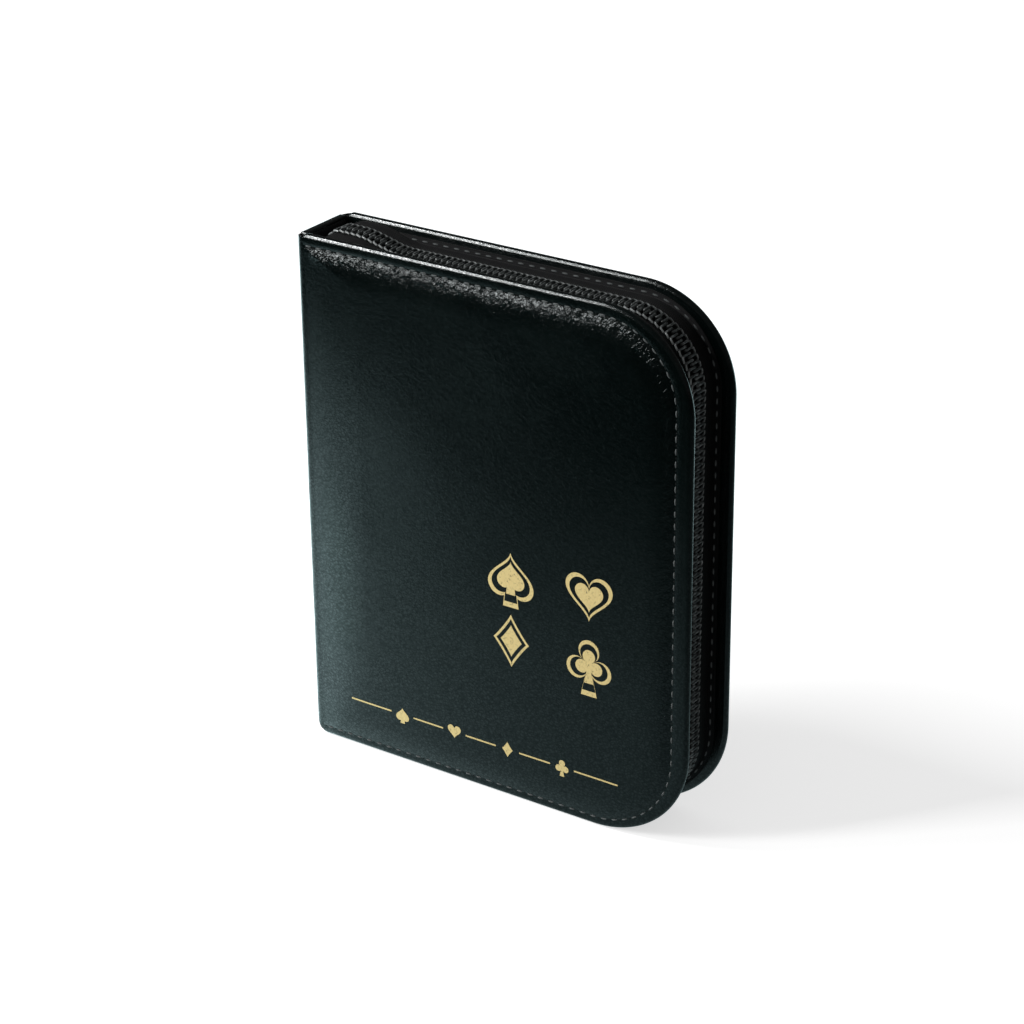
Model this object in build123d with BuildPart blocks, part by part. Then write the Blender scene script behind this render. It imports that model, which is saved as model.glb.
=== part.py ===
"""Two-deck rummy card set in a zip-around leatherette case.

The case stands on its lower edge. X runs from the spine to the opening edge, Y from the front
cover to the back cover, Z up. The origin is the middle of the footprint. All sizes are in
millimetres. The front cover is drawn first, and the back cover is its mirror image.
"""
from build123d import *
from math import ceil, floor, radians
import os

os.makedirs("parts", exist_ok=True)

# Cards: the case is fitted round two decks, one above the other
card_length = 91.0
card_width = 59.0
card_corner_radius = 3.5
card_thickness = 0.27
cards_per_deck = 55

# Corners of the case
top_corner_radius = 25.0
bottom_corner_radius = 27.0
foot_corner_radius = 4.0
head_corner_radius = 1.2

# Cover layers, from the outside in
skin_thickness = 0.7
board_thickness = 1.0
hem_thickness = 0.4
lining_thickness = 0.35
hem_width = 6.0
spine_hem_width = 3.0
rim_bevel = 0.5
layer_clearance = 0.05

# Padding under the leatherette: the stitched border, then a rounded slope, then a flat top
pad_height = 1.2
pad_shoulder_height = 0.75
pad_border = 4.6
pad_shoulder = 1.6
pad_slope = 4.6
pad_spine_border = 1.6
pad_spine_slope = 3.4

# Spine and its two folds
fold_radius = 2.3
fold_thickness = 1.1
fold_foot_gap = 3.0
fold_head_gap = 0.4
spine_foot_gap = 1.0
spine_head_gap = 0.6
spine_hem = 2.4
spine_lining_border = 0.7
lining_spine_gap = 0.6

# Zip: recesses from the case's outline to the outer face of the tape
zip_top_recess = 4.0
zip_side_recess = 5.2
zip_bottom_recess = 5.0
zip_corner_radius = 19.0
zip_start_from_spine = 7.0
zip_end_from_spine = 3.9
zip_tuck_radius = 3.2
zip_tuck_length = 6.5
zip_crest_rise = 1.6
zip_crest_length = 8.0
zip_crest_fall = 10.0
zip_crest_radius = 20.0
tape_thickness = 0.4
tape_centre_gap = 1.4
seam_border = 1.6
seam_start = 2.0
coil_pitch = 1.7
coil_height = 1.0
tooth_lift = 0.1
coil_band_outer = 3.0
coil_band_inner = 1.9
coil_first = 0.9
tooth_reach = 0.75
tooth_root_width = 0.85
tooth_tip_width = 0.4

# Slider, parked at the closed end of the bottom run with its nose towards the spine
slider_nose_length = 5.2
slider_tail_length = 5.0
slider_nose_width = 5.0
slider_shoulder_width = 8.6
slider_tail_width = 8.0
slider_shoulder_back = 2.4
slider_corner_radius = 0.9
slider_outer_plate = 0.8
slider_inner_plate = 0.7
slider_play = 0.15
slider_flange_play = 0.2
slider_inner_trim = 0.5
wedge_length = 3.4
wedge_tail_length = 1.6
stop_length = 1.2
stop_width = 2.2
stop_wall = 0.4
stop_gap = 0.3
park_gap = 0.3

# Crown and pull
crown_width = 2.0
crown_length = 6.4
crown_bar = 0.5
crown_window = 1.5
crown_leg = 0.9
pull_bar_radius = 0.45
pull_bar_play = 0.2
pull_root_offset = 2.6
pull_thickness = 0.9
pull_length = 16.0
pull_width = 5.4
pull_root_width = 4.6
pull_arm_gap = 0.3
pull_hole_length = 5.2
pull_hole_width = 2.4
pull_end_border = 2.2
pull_corner_radius = 1.6

# Moulded tray that holds the cards, with a thumb notch beside each well
card_play = 0.5
deck_play = 0.55
tray_base = 0.5
tray_depth = 7.4
tray_spine_wall = 1.5
tray_end_wall = 2.6
tray_divider = 2.5
tray_zip_gap = 0.4
tray_tuck_gap = 0.6
well_corner_radius = 5.0
notch_radius = 10.0
notch_reach = 5.15
notch_wall = 1.5
tray_top_bevel = 0.4

# Sizes of the case, worked out from the decks outwards
deck_height = cards_per_deck * card_thickness
well_length = card_length + 2 * card_play
well_width = card_width + 2 * card_play
tray_width = tray_spine_wall + well_length + notch_reach + notch_wall
tray_height = 2 * well_width + tray_divider + 2 * tray_end_wall
tray_gap = slider_play + slider_inner_plate + tray_zip_gap
tray_inset = tape_thickness + tray_gap
tray_left_inset = zip_start_from_spine + tape_thickness + tray_tuck_gap
case_width = tray_left_inset + tray_width + tray_inset + zip_side_recess
case_height = zip_bottom_recess + tray_height + 2 * tray_inset + zip_top_recess
cover_thickness = skin_thickness + board_thickness + hem_thickness + lining_thickness
border_depth = 2 * cover_thickness + tray_base + deck_height + deck_play

# Places worked out from the sizes above. Depths are distances from the mid-plane.
half_width = case_width / 2
half_depth = border_depth / 2
board_outer_depth = half_depth - skin_thickness
board_inner_depth = board_outer_depth - board_thickness
hem_inner_depth = board_inner_depth - hem_thickness
lining_inner_depth = hem_inner_depth - lining_thickness
spine_edge = fold_radius - half_width
spine_half_depth = half_depth - fold_radius
zip_top = case_height - zip_top_recess
zip_side = half_width - zip_side_recess
zip_bottom = zip_bottom_recess
zip_start = zip_start_from_spine - half_width
zip_end = zip_end_from_spine - half_width
zip_crest = zip_top + zip_crest_rise
crest_end = zip_start + zip_crest_length
bottom_run_end = zip_side - zip_corner_radius


def cover_face(depth, inset, spine_inset):
    """Cover outline drawn in by inset, and by spine_inset at the spine, on a plane at a depth."""
    left = spine_edge + spine_inset
    right = half_width - inset
    with BuildSketch(Plane.XZ.offset(depth)) as face:
        with BuildLine():
            FilletPolyline(
                (left, inset),
                (right, inset),
                (right, case_height - inset),
                (left, case_height - inset),
                radius=[
                    max(foot_corner_radius - inset, foot_corner_radius / 4),
                    bottom_corner_radius - inset,
                    top_corner_radius - inset,
                    max(head_corner_radius - inset, head_corner_radius / 2),
                ],
                close=True,
            )
        make_face()
    return face.sketch


def room_face(depth, gap, left):
    """Outline of the room inside the zip tape, drawn in by a gap from the tape's inner face."""
    inset = tape_thickness + gap
    right = zip_side - inset
    with BuildSketch(Plane.XZ.offset(depth)) as face:
        with BuildLine():
            FilletPolyline(
                (left, zip_bottom + inset),
                (right, zip_bottom + inset),
                (right, zip_top - inset),
                (left, zip_top - inset),
                radius=[
                    foot_corner_radius / 2,
                    zip_corner_radius - inset,
                    zip_corner_radius - inset,
                    foot_corner_radius / 2,
                ],
                close=True,
            )
        make_face()
    return face.sketch


zip_corners = [
    (zip_start, zip_crest - zip_tuck_length),
    (zip_start, zip_crest),
    (crest_end, zip_crest),
    (crest_end + zip_crest_fall, zip_top),
    (zip_side, zip_top),
    (zip_side, zip_bottom),
    (zip_end, zip_bottom),
    (zip_end, zip_bottom + zip_tuck_length),
]
zip_radii = [
    zip_tuck_radius,
    zip_crest_radius,
    zip_crest_radius,
    zip_corner_radius,
    zip_corner_radius,
    zip_tuck_radius,
]


def zip_strip_face(depth, thickness, side):
    """Thin strip beside the zip's path: Side.RIGHT lies inside the path, Side.LEFT outside it."""
    with BuildSketch(Plane.XZ.offset(depth)) as face:
        with BuildLine():
            FilletPolyline(*zip_corners, radius=zip_radii)
            offset(amount=thickness, side=side, closed=True)
        make_face()
    return face.sketch


def zip_inside_face(depth):
    """Everything inside the zip's path, closed along the spine side."""
    with BuildSketch(Plane.XZ.offset(depth)) as face:
        with BuildLine():
            run = FilletPolyline(*zip_corners, radius=zip_radii)
            Line(run @ 1, run @ 0)
        make_face()
    return face.sketch


def pad_sections(depth, trim):
    """The three levels of the padded top: foot of the slope, its shoulder and the flat top."""
    foot = cover_face(depth, pad_border + trim, pad_spine_border + trim)
    shoulder = cover_face(
        depth + pad_shoulder_height,
        pad_border + pad_shoulder + trim,
        pad_spine_border + pad_shoulder * pad_spine_slope / pad_slope + trim,
    )
    top = cover_face(
        depth + pad_height,
        pad_border + pad_slope + trim,
        pad_spine_border + pad_spine_slope + trim,
    )
    return foot, shoulder, top


def pad_solid(depth, trim=0.0):
    """The padded top as a solid that rises from a depth."""
    foot, shoulder, top = pad_sections(depth, trim)
    with BuildPart() as pad:
        loft([foot, shoulder], ruled=True)
        loft([shoulder, top], ruled=True)
    return pad.part


# Front cover skin: leatherette over the padding, round the board's edge and hemmed inside
with BuildPart() as front_skin:
    extrude(cover_face(hem_inner_depth, 0, 0), amount=half_depth - hem_inner_depth)
    rim_edges = front_skin.edges().filter_by(Axis.Y, reverse=True)
    outer_rim = rim_edges.filter_by_position(Axis.X, spine_edge + rim_bevel, half_width)
    chamfer(outer_rim, length=rim_bevel)
    add(pad_solid(half_depth))
    extrude(
        cover_face(board_inner_depth, skin_thickness, skin_thickness),
        amount=board_thickness,
        mode=Mode.SUBTRACT,
    )
    add(pad_solid(board_outer_depth), mode=Mode.SUBTRACT)
    extrude(
        cover_face(hem_inner_depth, hem_width, spine_hem_width),
        amount=hem_thickness,
        mode=Mode.SUBTRACT,
    )

# Front cover board
board_inset = skin_thickness + layer_clearance
with BuildPart() as front_board:
    extrude(
        cover_face(board_inner_depth, board_inset, board_inset),
        amount=board_thickness,
    )

# Front padding: foam between the board and the leatherette
with BuildPart() as front_padding:
    add(pad_solid(board_outer_depth, layer_clearance))

# Front lining: a sheet that reaches the zip tape, thicker inside the hem's window, with a slit
# for each tucked end of the tape
with BuildPart() as front_lining:
    extrude(
        cover_face(hem_inner_depth, hem_width + layer_clearance, spine_hem_width + layer_clearance),
        amount=hem_thickness,
    )
    extrude(
        room_face(lining_inner_depth, layer_clearance, spine_edge + lining_spine_gap),
        amount=lining_thickness,
    )
    extrude(
        zip_strip_face(lining_inner_depth, tape_thickness + layer_clearance, Side.RIGHT),
        amount=lining_thickness,
        mode=Mode.SUBTRACT,
    )

# Front zip tape: a wall that stands on the cover, and a seam leg sewn under the border
with BuildPart() as front_zip_tape:
    extrude(
        zip_strip_face(tape_centre_gap / 2, tape_thickness, Side.RIGHT),
        amount=hem_inner_depth - tape_centre_gap / 2,
    )
    extrude(cover_face(lining_inner_depth, seam_border, seam_border), amount=lining_thickness)
    extrude(zip_inside_face(lining_inner_depth), amount=lining_thickness, mode=Mode.SUBTRACT)
    with BuildSketch(Plane.XZ.offset(lining_inner_depth)):
        with Locations((zip_start + seam_start, case_height / 2)):
            Rectangle(case_width, case_height, align=(Align.MAX, Align.CENTER))
    extrude(amount=lining_thickness, mode=Mode.SUBTRACT)
    extrude(
        zip_strip_face(lining_inner_depth, tape_thickness, Side.RIGHT),
        amount=lining_thickness,
    )

# Places along the zip's path. The coil stops short of the parked slider.
with BuildLine(Plane.XZ) as zip_path:
    FilletPolyline(*zip_corners, radius=zip_radii)
zip_wire = zip_path.wire()
stop_centre = zip_end + zip_tuck_radius + stop_gap + stop_length / 2
slider_park = stop_centre + stop_length / 2 + park_gap + slider_nose_length
coil_end = slider_park + slider_tail_length + park_gap
tuck_run = zip_tuck_length - zip_tuck_radius + radians(90) * zip_tuck_radius
coil_length = zip_wire.length - tuck_run - (coil_end - zip_end - zip_tuck_radius)
upper_coil_length = coil_length - (bottom_run_end - coil_end)
coil_band = coil_band_outer - coil_band_inner


def tooth_plane(distance):
    """Plane on the tape's outer face: X along the zip, Y to the back cover, Z away from the case."""
    along = zip_wire.tangent_at(distance, position_mode=PositionMode.LENGTH)
    spot = zip_wire.position_at(distance, position_mode=PositionMode.LENGTH)
    outward = along.cross(Vector(0, 1, 0))
    return Plane(origin=spot + outward * tooth_lift, x_dir=along, z_dir=outward)


def tooth_distances(phase, lowest, highest):
    """Distances along the zip of the teeth of one half that lie between two distances."""
    start = coil_first + phase * coil_pitch
    last = coil_length - tooth_root_width / 2
    count = floor((last - start) / coil_pitch) + 1
    every = [start + coil_pitch * step for step in range(count)]
    return [distance for distance in every if lowest <= distance < highest]


def split_distance(phase):
    """Distance of the first gap between teeth past the last corner, where a half's coil is split."""
    start = coil_first + phase * coil_pitch
    return start + coil_pitch * (ceil((upper_coil_length - start) / coil_pitch) + 0.5)


def coil_teeth(distances, side):
    """Teeth that reach across the middle: side is 1 on the front half and -1 on the back half."""
    root = -side * coil_band_inner
    tip = side * tooth_reach
    with BuildPart() as teeth:
        with BuildSketch(*[tooth_plane(distance) for distance in distances]):
            with BuildLine():
                Polyline(
                    (-tooth_root_width / 2, root),
                    (tooth_root_width / 2, root),
                    (tooth_tip_width / 2, tip),
                    (-tooth_tip_width / 2, tip),
                    close=True,
                )
            make_face()
        extrude(amount=coil_height - 2 * tooth_lift)
    return teeth.part


def coil_start(side):
    """Depth of the plane from which a coil's band is extruded towards the front."""
    return coil_band_inner if side > 0 else -coil_band_outer


def upper_coil(side, phase):
    """Coil of the top run, the opening edge and both corners: a band with its teeth."""
    split = split_distance(phase)
    split_x = bottom_run_end + upper_coil_length - split
    with BuildPart() as coil:
        extrude(zip_strip_face(coil_start(side), coil_height, Side.LEFT), amount=coil_band)
        with BuildSketch(Plane.XZ.offset(coil_start(side))):
            with Locations((split_x, zip_bottom - 2 * coil_height)):
                Rectangle(
                    case_width,
                    zip_tuck_length + 3 * coil_height,
                    align=(Align.MAX, Align.MIN),
                )
        extrude(amount=coil_band, mode=Mode.SUBTRACT)
        add(coil_teeth(tooth_distances(phase, 0, split), side))
    return coil.part


def bottom_coil(side, phase):
    """Coil of the straight bottom run, which the slider passes over."""
    split = split_distance(phase)
    split_x = bottom_run_end + upper_coil_length - split
    with BuildPart() as coil:
        with BuildSketch(Plane.XZ.offset(coil_start(side))):
            with Locations((coil_end, zip_bottom)):
                Rectangle(
                    split_x - coil_end,
                    coil_height,
                    align=(Align.MIN, Align.MAX),
                )
        extrude(amount=coil_band)
        add(coil_teeth(tooth_distances(phase, split, coil_length), side))
    return coil.part


# Coils of the two zip halves, half a pitch apart so that their teeth mesh
with BuildPart() as front_zip_coil:
    add(upper_coil(1, 0))

with BuildPart() as front_zip_coil_bottom:
    add(bottom_coil(1, 0))

with BuildPart() as back_zip_coil:
    add(upper_coil(-1, 0.5))

with BuildPart() as back_zip_coil_bottom:
    add(bottom_coil(-1, 0.5))

# End stop of the front tape: a clip closed round the tape's edge
tape_edge_depth = tape_centre_gap / 2
with BuildPart() as front_end_stop:
    with BuildSketch(Plane.YZ.offset(stop_centre - stop_length / 2)):
        with Locations((stop_wall - tape_edge_depth, zip_bottom - coil_height)):
            RectangleRounded(
                stop_width,
                coil_height + tape_thickness + stop_wall,
                stop_wall / 2,
                align=(Align.MAX, Align.MIN),
            )
        with Locations((-tape_edge_depth, zip_bottom)):
            Rectangle(
                stop_width,
                tape_thickness,
                align=(Align.MAX, Align.MIN),
                mode=Mode.SUBTRACT,
            )
    extrude(amount=stop_length)

# The back half mirrors the front half
with BuildPart() as back_skin:
    mirror(front_skin.part, about=Plane.XZ)

with BuildPart() as back_board:
    mirror(front_board.part, about=Plane.XZ)

with BuildPart() as back_padding:
    mirror(front_padding.part, about=Plane.XZ)

with BuildPart() as back_lining:
    mirror(front_lining.part, about=Plane.XZ)

with BuildPart() as back_zip_tape:
    mirror(front_zip_tape.part, about=Plane.XZ)

with BuildPart() as back_end_stop:
    mirror(front_end_stop.part, about=Plane.XZ)


def spine_face(layer, side_inset, end_inset):
    """Spine outline on a plane that lies a distance inside the spine's outer face."""
    foot = spine_foot_gap + end_inset
    head = case_height - spine_head_gap - end_inset
    with BuildSketch(Plane.YZ.offset(layer - half_width)) as face:
        with Locations((0, foot)):
            Rectangle(
                2 * (spine_half_depth - side_inset),
                head - foot,
                align=(Align.CENTER, Align.MIN),
            )
    return face.sketch


# Spine skin: leatherette hemmed round the spine's board
board_layer = skin_thickness
hem_layer = board_layer + board_thickness
spine_lining_layer = hem_layer + hem_thickness
with BuildPart() as spine_skin:
    extrude(spine_face(0, 0, 0), amount=spine_lining_layer)
    extrude(
        spine_face(board_layer, skin_thickness, skin_thickness),
        amount=board_thickness,
        mode=Mode.SUBTRACT,
    )
    extrude(spine_face(hem_layer, spine_hem, spine_hem), amount=hem_thickness, mode=Mode.SUBTRACT)

with BuildPart() as spine_board:
    extrude(spine_face(board_layer, board_inset, board_inset), amount=board_thickness)

with BuildPart() as spine_lining:
    extrude(
        spine_face(hem_layer, spine_hem + layer_clearance, spine_hem + layer_clearance),
        amount=hem_thickness,
    )
    extrude(
        spine_face(spine_lining_layer, spine_lining_border, spine_lining_border),
        amount=lining_thickness,
    )

# Fold strips: leatherette and lining glued together, with no board, round each long corner
fold_height = case_height - fold_head_gap - fold_foot_gap
with BuildPart() as front_fold_strip:
    with BuildSketch(Plane.XY.offset(fold_foot_gap)):
        with Locations((spine_edge, -spine_half_depth)):
            Circle(fold_radius)
            Circle(fold_radius - fold_thickness, mode=Mode.SUBTRACT)
            Rectangle(
                fold_radius,
                fold_radius,
                align=(Align.MAX, Align.MAX),
                mode=Mode.INTERSECT,
            )
    extrude(amount=fold_height)

with BuildPart() as back_fold_strip:
    mirror(front_fold_strip.part, about=Plane.XZ)

# Card tray: a moulded tray with two wells, each with a thumb notch on the opening side
tray_left = tray_left_inset - half_width
tray_middle = (zip_top + zip_bottom) / 2
well_centre = tray_left + tray_spine_wall + well_length / 2
well_step = (well_width + tray_divider) / 2
notch_centre = well_centre + well_length / 2 + notch_reach - notch_radius
well_floor = tray_base - lining_inner_depth
with BuildPart() as card_tray:
    extrude(room_face(-lining_inner_depth, tray_gap, tray_left), amount=tray_depth)
    rim = card_tray.faces().sort_by(Axis.Y)[0]
    chamfer(rim.edges(), length=tray_top_bevel)
    with BuildSketch(Plane.XZ.offset(well_floor)):
        with Locations(
            (well_centre, tray_middle - well_step),
            (well_centre, tray_middle + well_step),
        ):
            RectangleRounded(well_length, well_width, well_corner_radius)
        with Locations(
            (notch_centre, tray_middle - well_step),
            (notch_centre, tray_middle + well_step),
        ):
            Circle(notch_radius)
    extrude(amount=tray_depth, mode=Mode.SUBTRACT)

# Decks: the cards of each deck pressed together
with BuildPart() as lower_deck:
    with BuildSketch(Plane.XZ.offset(well_floor)):
        with Locations((well_centre, tray_middle - well_step)):
            RectangleRounded(card_length, card_width, card_corner_radius)
    extrude(amount=deck_height)

with BuildPart() as upper_deck:
    with BuildSketch(Plane.XZ.offset(well_floor)):
        with Locations((well_centre, tray_middle + well_step)):
            RectangleRounded(card_length, card_width, card_corner_radius)
    extrude(amount=deck_height)

# Slider body: an outer plate with flanges and an inner plate, joined by the wedge in its nose
coil_face = zip_bottom - coil_height
outer_plate_top = coil_face - slider_play
outer_plate_bottom = outer_plate_top - slider_outer_plate
inner_plate_bottom = zip_bottom + tape_thickness + slider_play
nose = slider_park - slider_nose_length
tail = slider_park + slider_tail_length
flange_inner = coil_band_outer + slider_flange_play


def slider_face(level, trim):
    """Outline of a slider plate: a blunt nose, shoulders and a narrower tail."""
    shoulder = slider_park - slider_shoulder_back
    with BuildSketch(Plane.XY.offset(level)) as face:
        with BuildLine():
            Polyline(
                (nose + trim, -slider_nose_width / 2 + trim),
                (shoulder, -slider_shoulder_width / 2 + trim),
                (tail - trim, -slider_tail_width / 2 + trim),
                (tail - trim, slider_tail_width / 2 - trim),
                (shoulder, slider_shoulder_width / 2 - trim),
                (nose + trim, slider_nose_width / 2 - trim),
                close=True,
            )
        make_face()
        fillet(face.vertices(), radius=slider_corner_radius)
    return face.sketch


with BuildPart() as slider_body:
    extrude(
        slider_face(outer_plate_bottom, 0),
        amount=zip_bottom - slider_play - outer_plate_bottom,
    )
    with BuildSketch(Plane.XY.offset(outer_plate_top)):
        with Locations((slider_park, 0)):
            Rectangle(2 * slider_nose_length + 2 * slider_tail_length, 2 * flange_inner)
    extrude(amount=zip_bottom - outer_plate_top, mode=Mode.SUBTRACT)
    extrude(slider_face(inner_plate_bottom, slider_inner_trim), amount=slider_inner_plate)
    with BuildSketch(Plane.XY.offset(outer_plate_top)):
        with BuildLine():
            Polyline(
                (nose + slider_inner_trim, -tape_edge_depth + slider_play),
                (nose + wedge_length - wedge_tail_length, -tape_edge_depth + slider_play),
                (nose + wedge_length, 0),
                (nose + wedge_length - wedge_tail_length, tape_edge_depth - slider_play),
                (nose + slider_inner_trim, tape_edge_depth - slider_play),
                close=True,
            )
        make_face()
    extrude(amount=inner_plate_bottom - outer_plate_top)

# Crown: the arch on the outer plate that holds the pull
with BuildPart() as slider_crown:
    with BuildSketch(Plane.XZ.offset(-crown_width / 2)):
        with Locations((slider_park, outer_plate_bottom)):
            Rectangle(
                crown_length,
                crown_window + crown_bar,
                align=(Align.CENTER, Align.MAX),
            )
            Rectangle(
                crown_length - 2 * crown_leg,
                crown_window,
                align=(Align.CENTER, Align.MAX),
                mode=Mode.SUBTRACT,
            )
    extrude(amount=crown_width)
    foot_edges = slider_crown.edges().filter_by(Axis.Y).group_by(Axis.Z)[0]
    fillet(foot_edges, radius=crown_leg)

# Pull tab: two arms on a cross bar, and a plate with an oblong hole
pull_pivot_x = slider_park + crown_length / 2 - crown_leg - pull_bar_radius - pull_bar_play
pull_pivot_z = outer_plate_bottom - crown_window / 2
arm_inner = crown_width / 2 + pull_arm_gap
pull_tip = pull_pivot_x + pull_length
with BuildPart() as pull_tab:
    with BuildSketch(Plane.XY.offset(pull_pivot_z - pull_thickness / 2)) as pull_outline:
        with BuildLine():
            Polyline(
                (pull_pivot_x, -pull_root_width / 2),
                (pull_tip, -pull_width / 2),
                (pull_tip, pull_width / 2),
                (pull_pivot_x, pull_root_width / 2),
                close=True,
            )
        make_face()
        fillet(pull_outline.vertices().group_by(Axis.X)[-1], radius=pull_corner_radius)
        with Locations((pull_pivot_x + pull_root_offset, 0)):
            Rectangle(
                2 * pull_root_offset,
                2 * arm_inner,
                align=(Align.MAX, Align.CENTER),
                mode=Mode.SUBTRACT,
            )
        with Locations((pull_tip - pull_end_border - pull_hole_length / 2, 0)):
            SlotOverall(pull_hole_length, pull_hole_width, mode=Mode.SUBTRACT)
    extrude(amount=pull_thickness)
    with Locations((pull_pivot_x, 0, pull_pivot_z)):
        Cylinder(pull_bar_radius, pull_root_width, rotation=(90, 0, 0))

# Names and files
pieces = {
    "back_skin": back_skin,
    "back_board": back_board,
    "back_padding": back_padding,
    "back_lining": back_lining,
    "back_zip_tape": back_zip_tape,
    "back_zip_coil": back_zip_coil,
    "back_zip_coil_bottom": back_zip_coil_bottom,
    "back_end_stop": back_end_stop,
    "card_tray": card_tray,
    "upper_deck": upper_deck,
    "lower_deck": lower_deck,
    "spine_skin": spine_skin,
    "spine_board": spine_board,
    "spine_lining": spine_lining,
    "back_fold_strip": back_fold_strip,
    "front_fold_strip": front_fold_strip,
    "front_skin": front_skin,
    "front_board": front_board,
    "front_padding": front_padding,
    "front_lining": front_lining,
    "front_zip_tape": front_zip_tape,
    "front_zip_coil": front_zip_coil,
    "front_zip_coil_bottom": front_zip_coil_bottom,
    "front_end_stop": front_end_stop,
    "slider_body": slider_body,
    "slider_crown": slider_crown,
    "pull_tab": pull_tab,
}
for name, piece in pieces.items():
    piece.part.label = name
    export_step(piece.part, f"parts/{name}.step")
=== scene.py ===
"""Visual model of a zip-around leatherette case for two decks of rummy cards.

The case stands on its lower edge. X runs from the spine to the opening edge, Y from the front
cover to the back cover, Z up. Sizes in the classes are in millimetres, meshes are in metres.
"""

import logging
import math
from collections.abc import Callable, Iterator, Sequence
from contextlib import contextmanager
from dataclasses import dataclass, field, replace
from enum import Enum

import bmesh
import bpy
import numpy as np
from mathutils import Matrix, Vector, noise


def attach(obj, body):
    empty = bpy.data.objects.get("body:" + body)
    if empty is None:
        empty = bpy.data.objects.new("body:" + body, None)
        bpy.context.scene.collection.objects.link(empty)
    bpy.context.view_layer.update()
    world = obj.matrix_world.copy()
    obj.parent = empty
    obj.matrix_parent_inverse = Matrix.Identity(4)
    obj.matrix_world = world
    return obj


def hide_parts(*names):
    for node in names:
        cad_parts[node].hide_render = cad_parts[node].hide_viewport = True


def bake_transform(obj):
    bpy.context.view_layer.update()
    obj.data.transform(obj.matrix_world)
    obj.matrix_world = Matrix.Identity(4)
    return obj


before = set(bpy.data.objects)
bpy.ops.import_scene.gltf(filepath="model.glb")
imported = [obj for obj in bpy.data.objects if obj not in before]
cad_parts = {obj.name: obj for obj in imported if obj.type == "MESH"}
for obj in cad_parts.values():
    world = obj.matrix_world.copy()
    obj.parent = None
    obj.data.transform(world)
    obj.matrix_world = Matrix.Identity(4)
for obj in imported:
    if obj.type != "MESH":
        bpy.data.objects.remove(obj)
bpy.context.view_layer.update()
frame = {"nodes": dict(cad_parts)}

MM = 0.001
log = logging.getLogger("card_case")
Placer = Callable[[np.ndarray, np.ndarray], np.ndarray]
Pair = tuple[float, float]
Triple = tuple[float, float, float]
Piece = bpy.types.Object
Material = bpy.types.Material
Socket = bpy.types.NodeSocket


class Side(Enum):
    """Half of the case, as the sign that its depths are multiplied by to give Y."""

    FRONT = -1
    BACK = 1

    @property
    def word(self) -> str:
        """Prefix of the half's node names."""
        return self.name.lower()

    @property
    def body(self) -> str:
        """Body that the half's pieces ride on."""
        return f"{self.word}_half"


class Suit(Enum):
    """Generic card suits, stamped on the front cover."""

    HEART = "heart"
    SPADE = "spade"
    DIAMOND = "diamond"
    CLUB = "club"


# Shader expressions


class Value:
    """A number on a shader socket that takes part in plain arithmetic."""

    def __init__(self, graph: "Graph", socket: Socket) -> None:
        """Wraps a socket.

        Args:
            graph: node tree that the socket belongs to.
            socket: output socket that carries the number.
        """
        self.graph = graph
        self.socket = socket

    def _math(self, operation: str, *terms: "Value | float") -> "Value":
        """Adds a Math node.

        Args:
            operation: name of the Math node's operation.
            terms: its inputs, in order.

        Returns:
            The node's result.
        """
        inputs = dict(enumerate(terms))
        return self.graph.value("ShaderNodeMath", {"operation": operation}, inputs)

    def __add__(self, other: "Value | float") -> "Value":
        """Sum."""
        return self._math("ADD", self, other)

    __radd__ = __add__

    def __sub__(self, other: "Value | float") -> "Value":
        """Difference."""
        return self._math("SUBTRACT", self, other)

    def __rsub__(self, other: float) -> "Value":
        """Difference from a number."""
        return self._math("SUBTRACT", other, self)

    def __mul__(self, other: "Value | float") -> "Value":
        """Product."""
        return self._math("MULTIPLY", self, other)

    __rmul__ = __mul__

    def __truediv__(self, other: "Value | float") -> "Value":
        """Quotient."""
        return self._math("DIVIDE", self, other)

    def __pow__(self, other: float) -> "Value":
        """Power."""
        return self._math("POWER", self, other)

    def wave(self, period: float) -> "Value":
        """Sine of the number, from 0 to 1, that repeats after a period."""
        return self._math("SINE", self * (2 * math.pi / period)) * 0.5 + 0.5

    def least(self, other: "Value | float") -> "Value":
        """The smaller of two numbers."""
        return self._math("MINIMUM", self, other)

    def most(self, other: "Value | float") -> "Value":
        """The larger of two numbers."""
        return self._math("MAXIMUM", self, other)

    def exponential(self) -> "Value":
        """Euler's number to this power."""
        return self._math("EXPONENT", self)

    def size(self) -> "Value":
        """The number without its sign."""
        return self._math("ABSOLUTE", self)

    def ramp(self, low: float, high: float, first: float = 0.0, last: float = 1.0) -> "Value":
        """Smooth step.

        Args:
            low: number that gives first.
            high: number that gives last.
            first: result at and before low.
            last: result at and past high.

        Returns:
            The stepped number.
        """
        return self.graph.value(
            "ShaderNodeMapRange",
            {"interpolation_type": "SMOOTHSTEP"},
            {"Value": self, "From Min": low, "From Max": high, "To Min": first, "To Max": last},
        )


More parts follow.
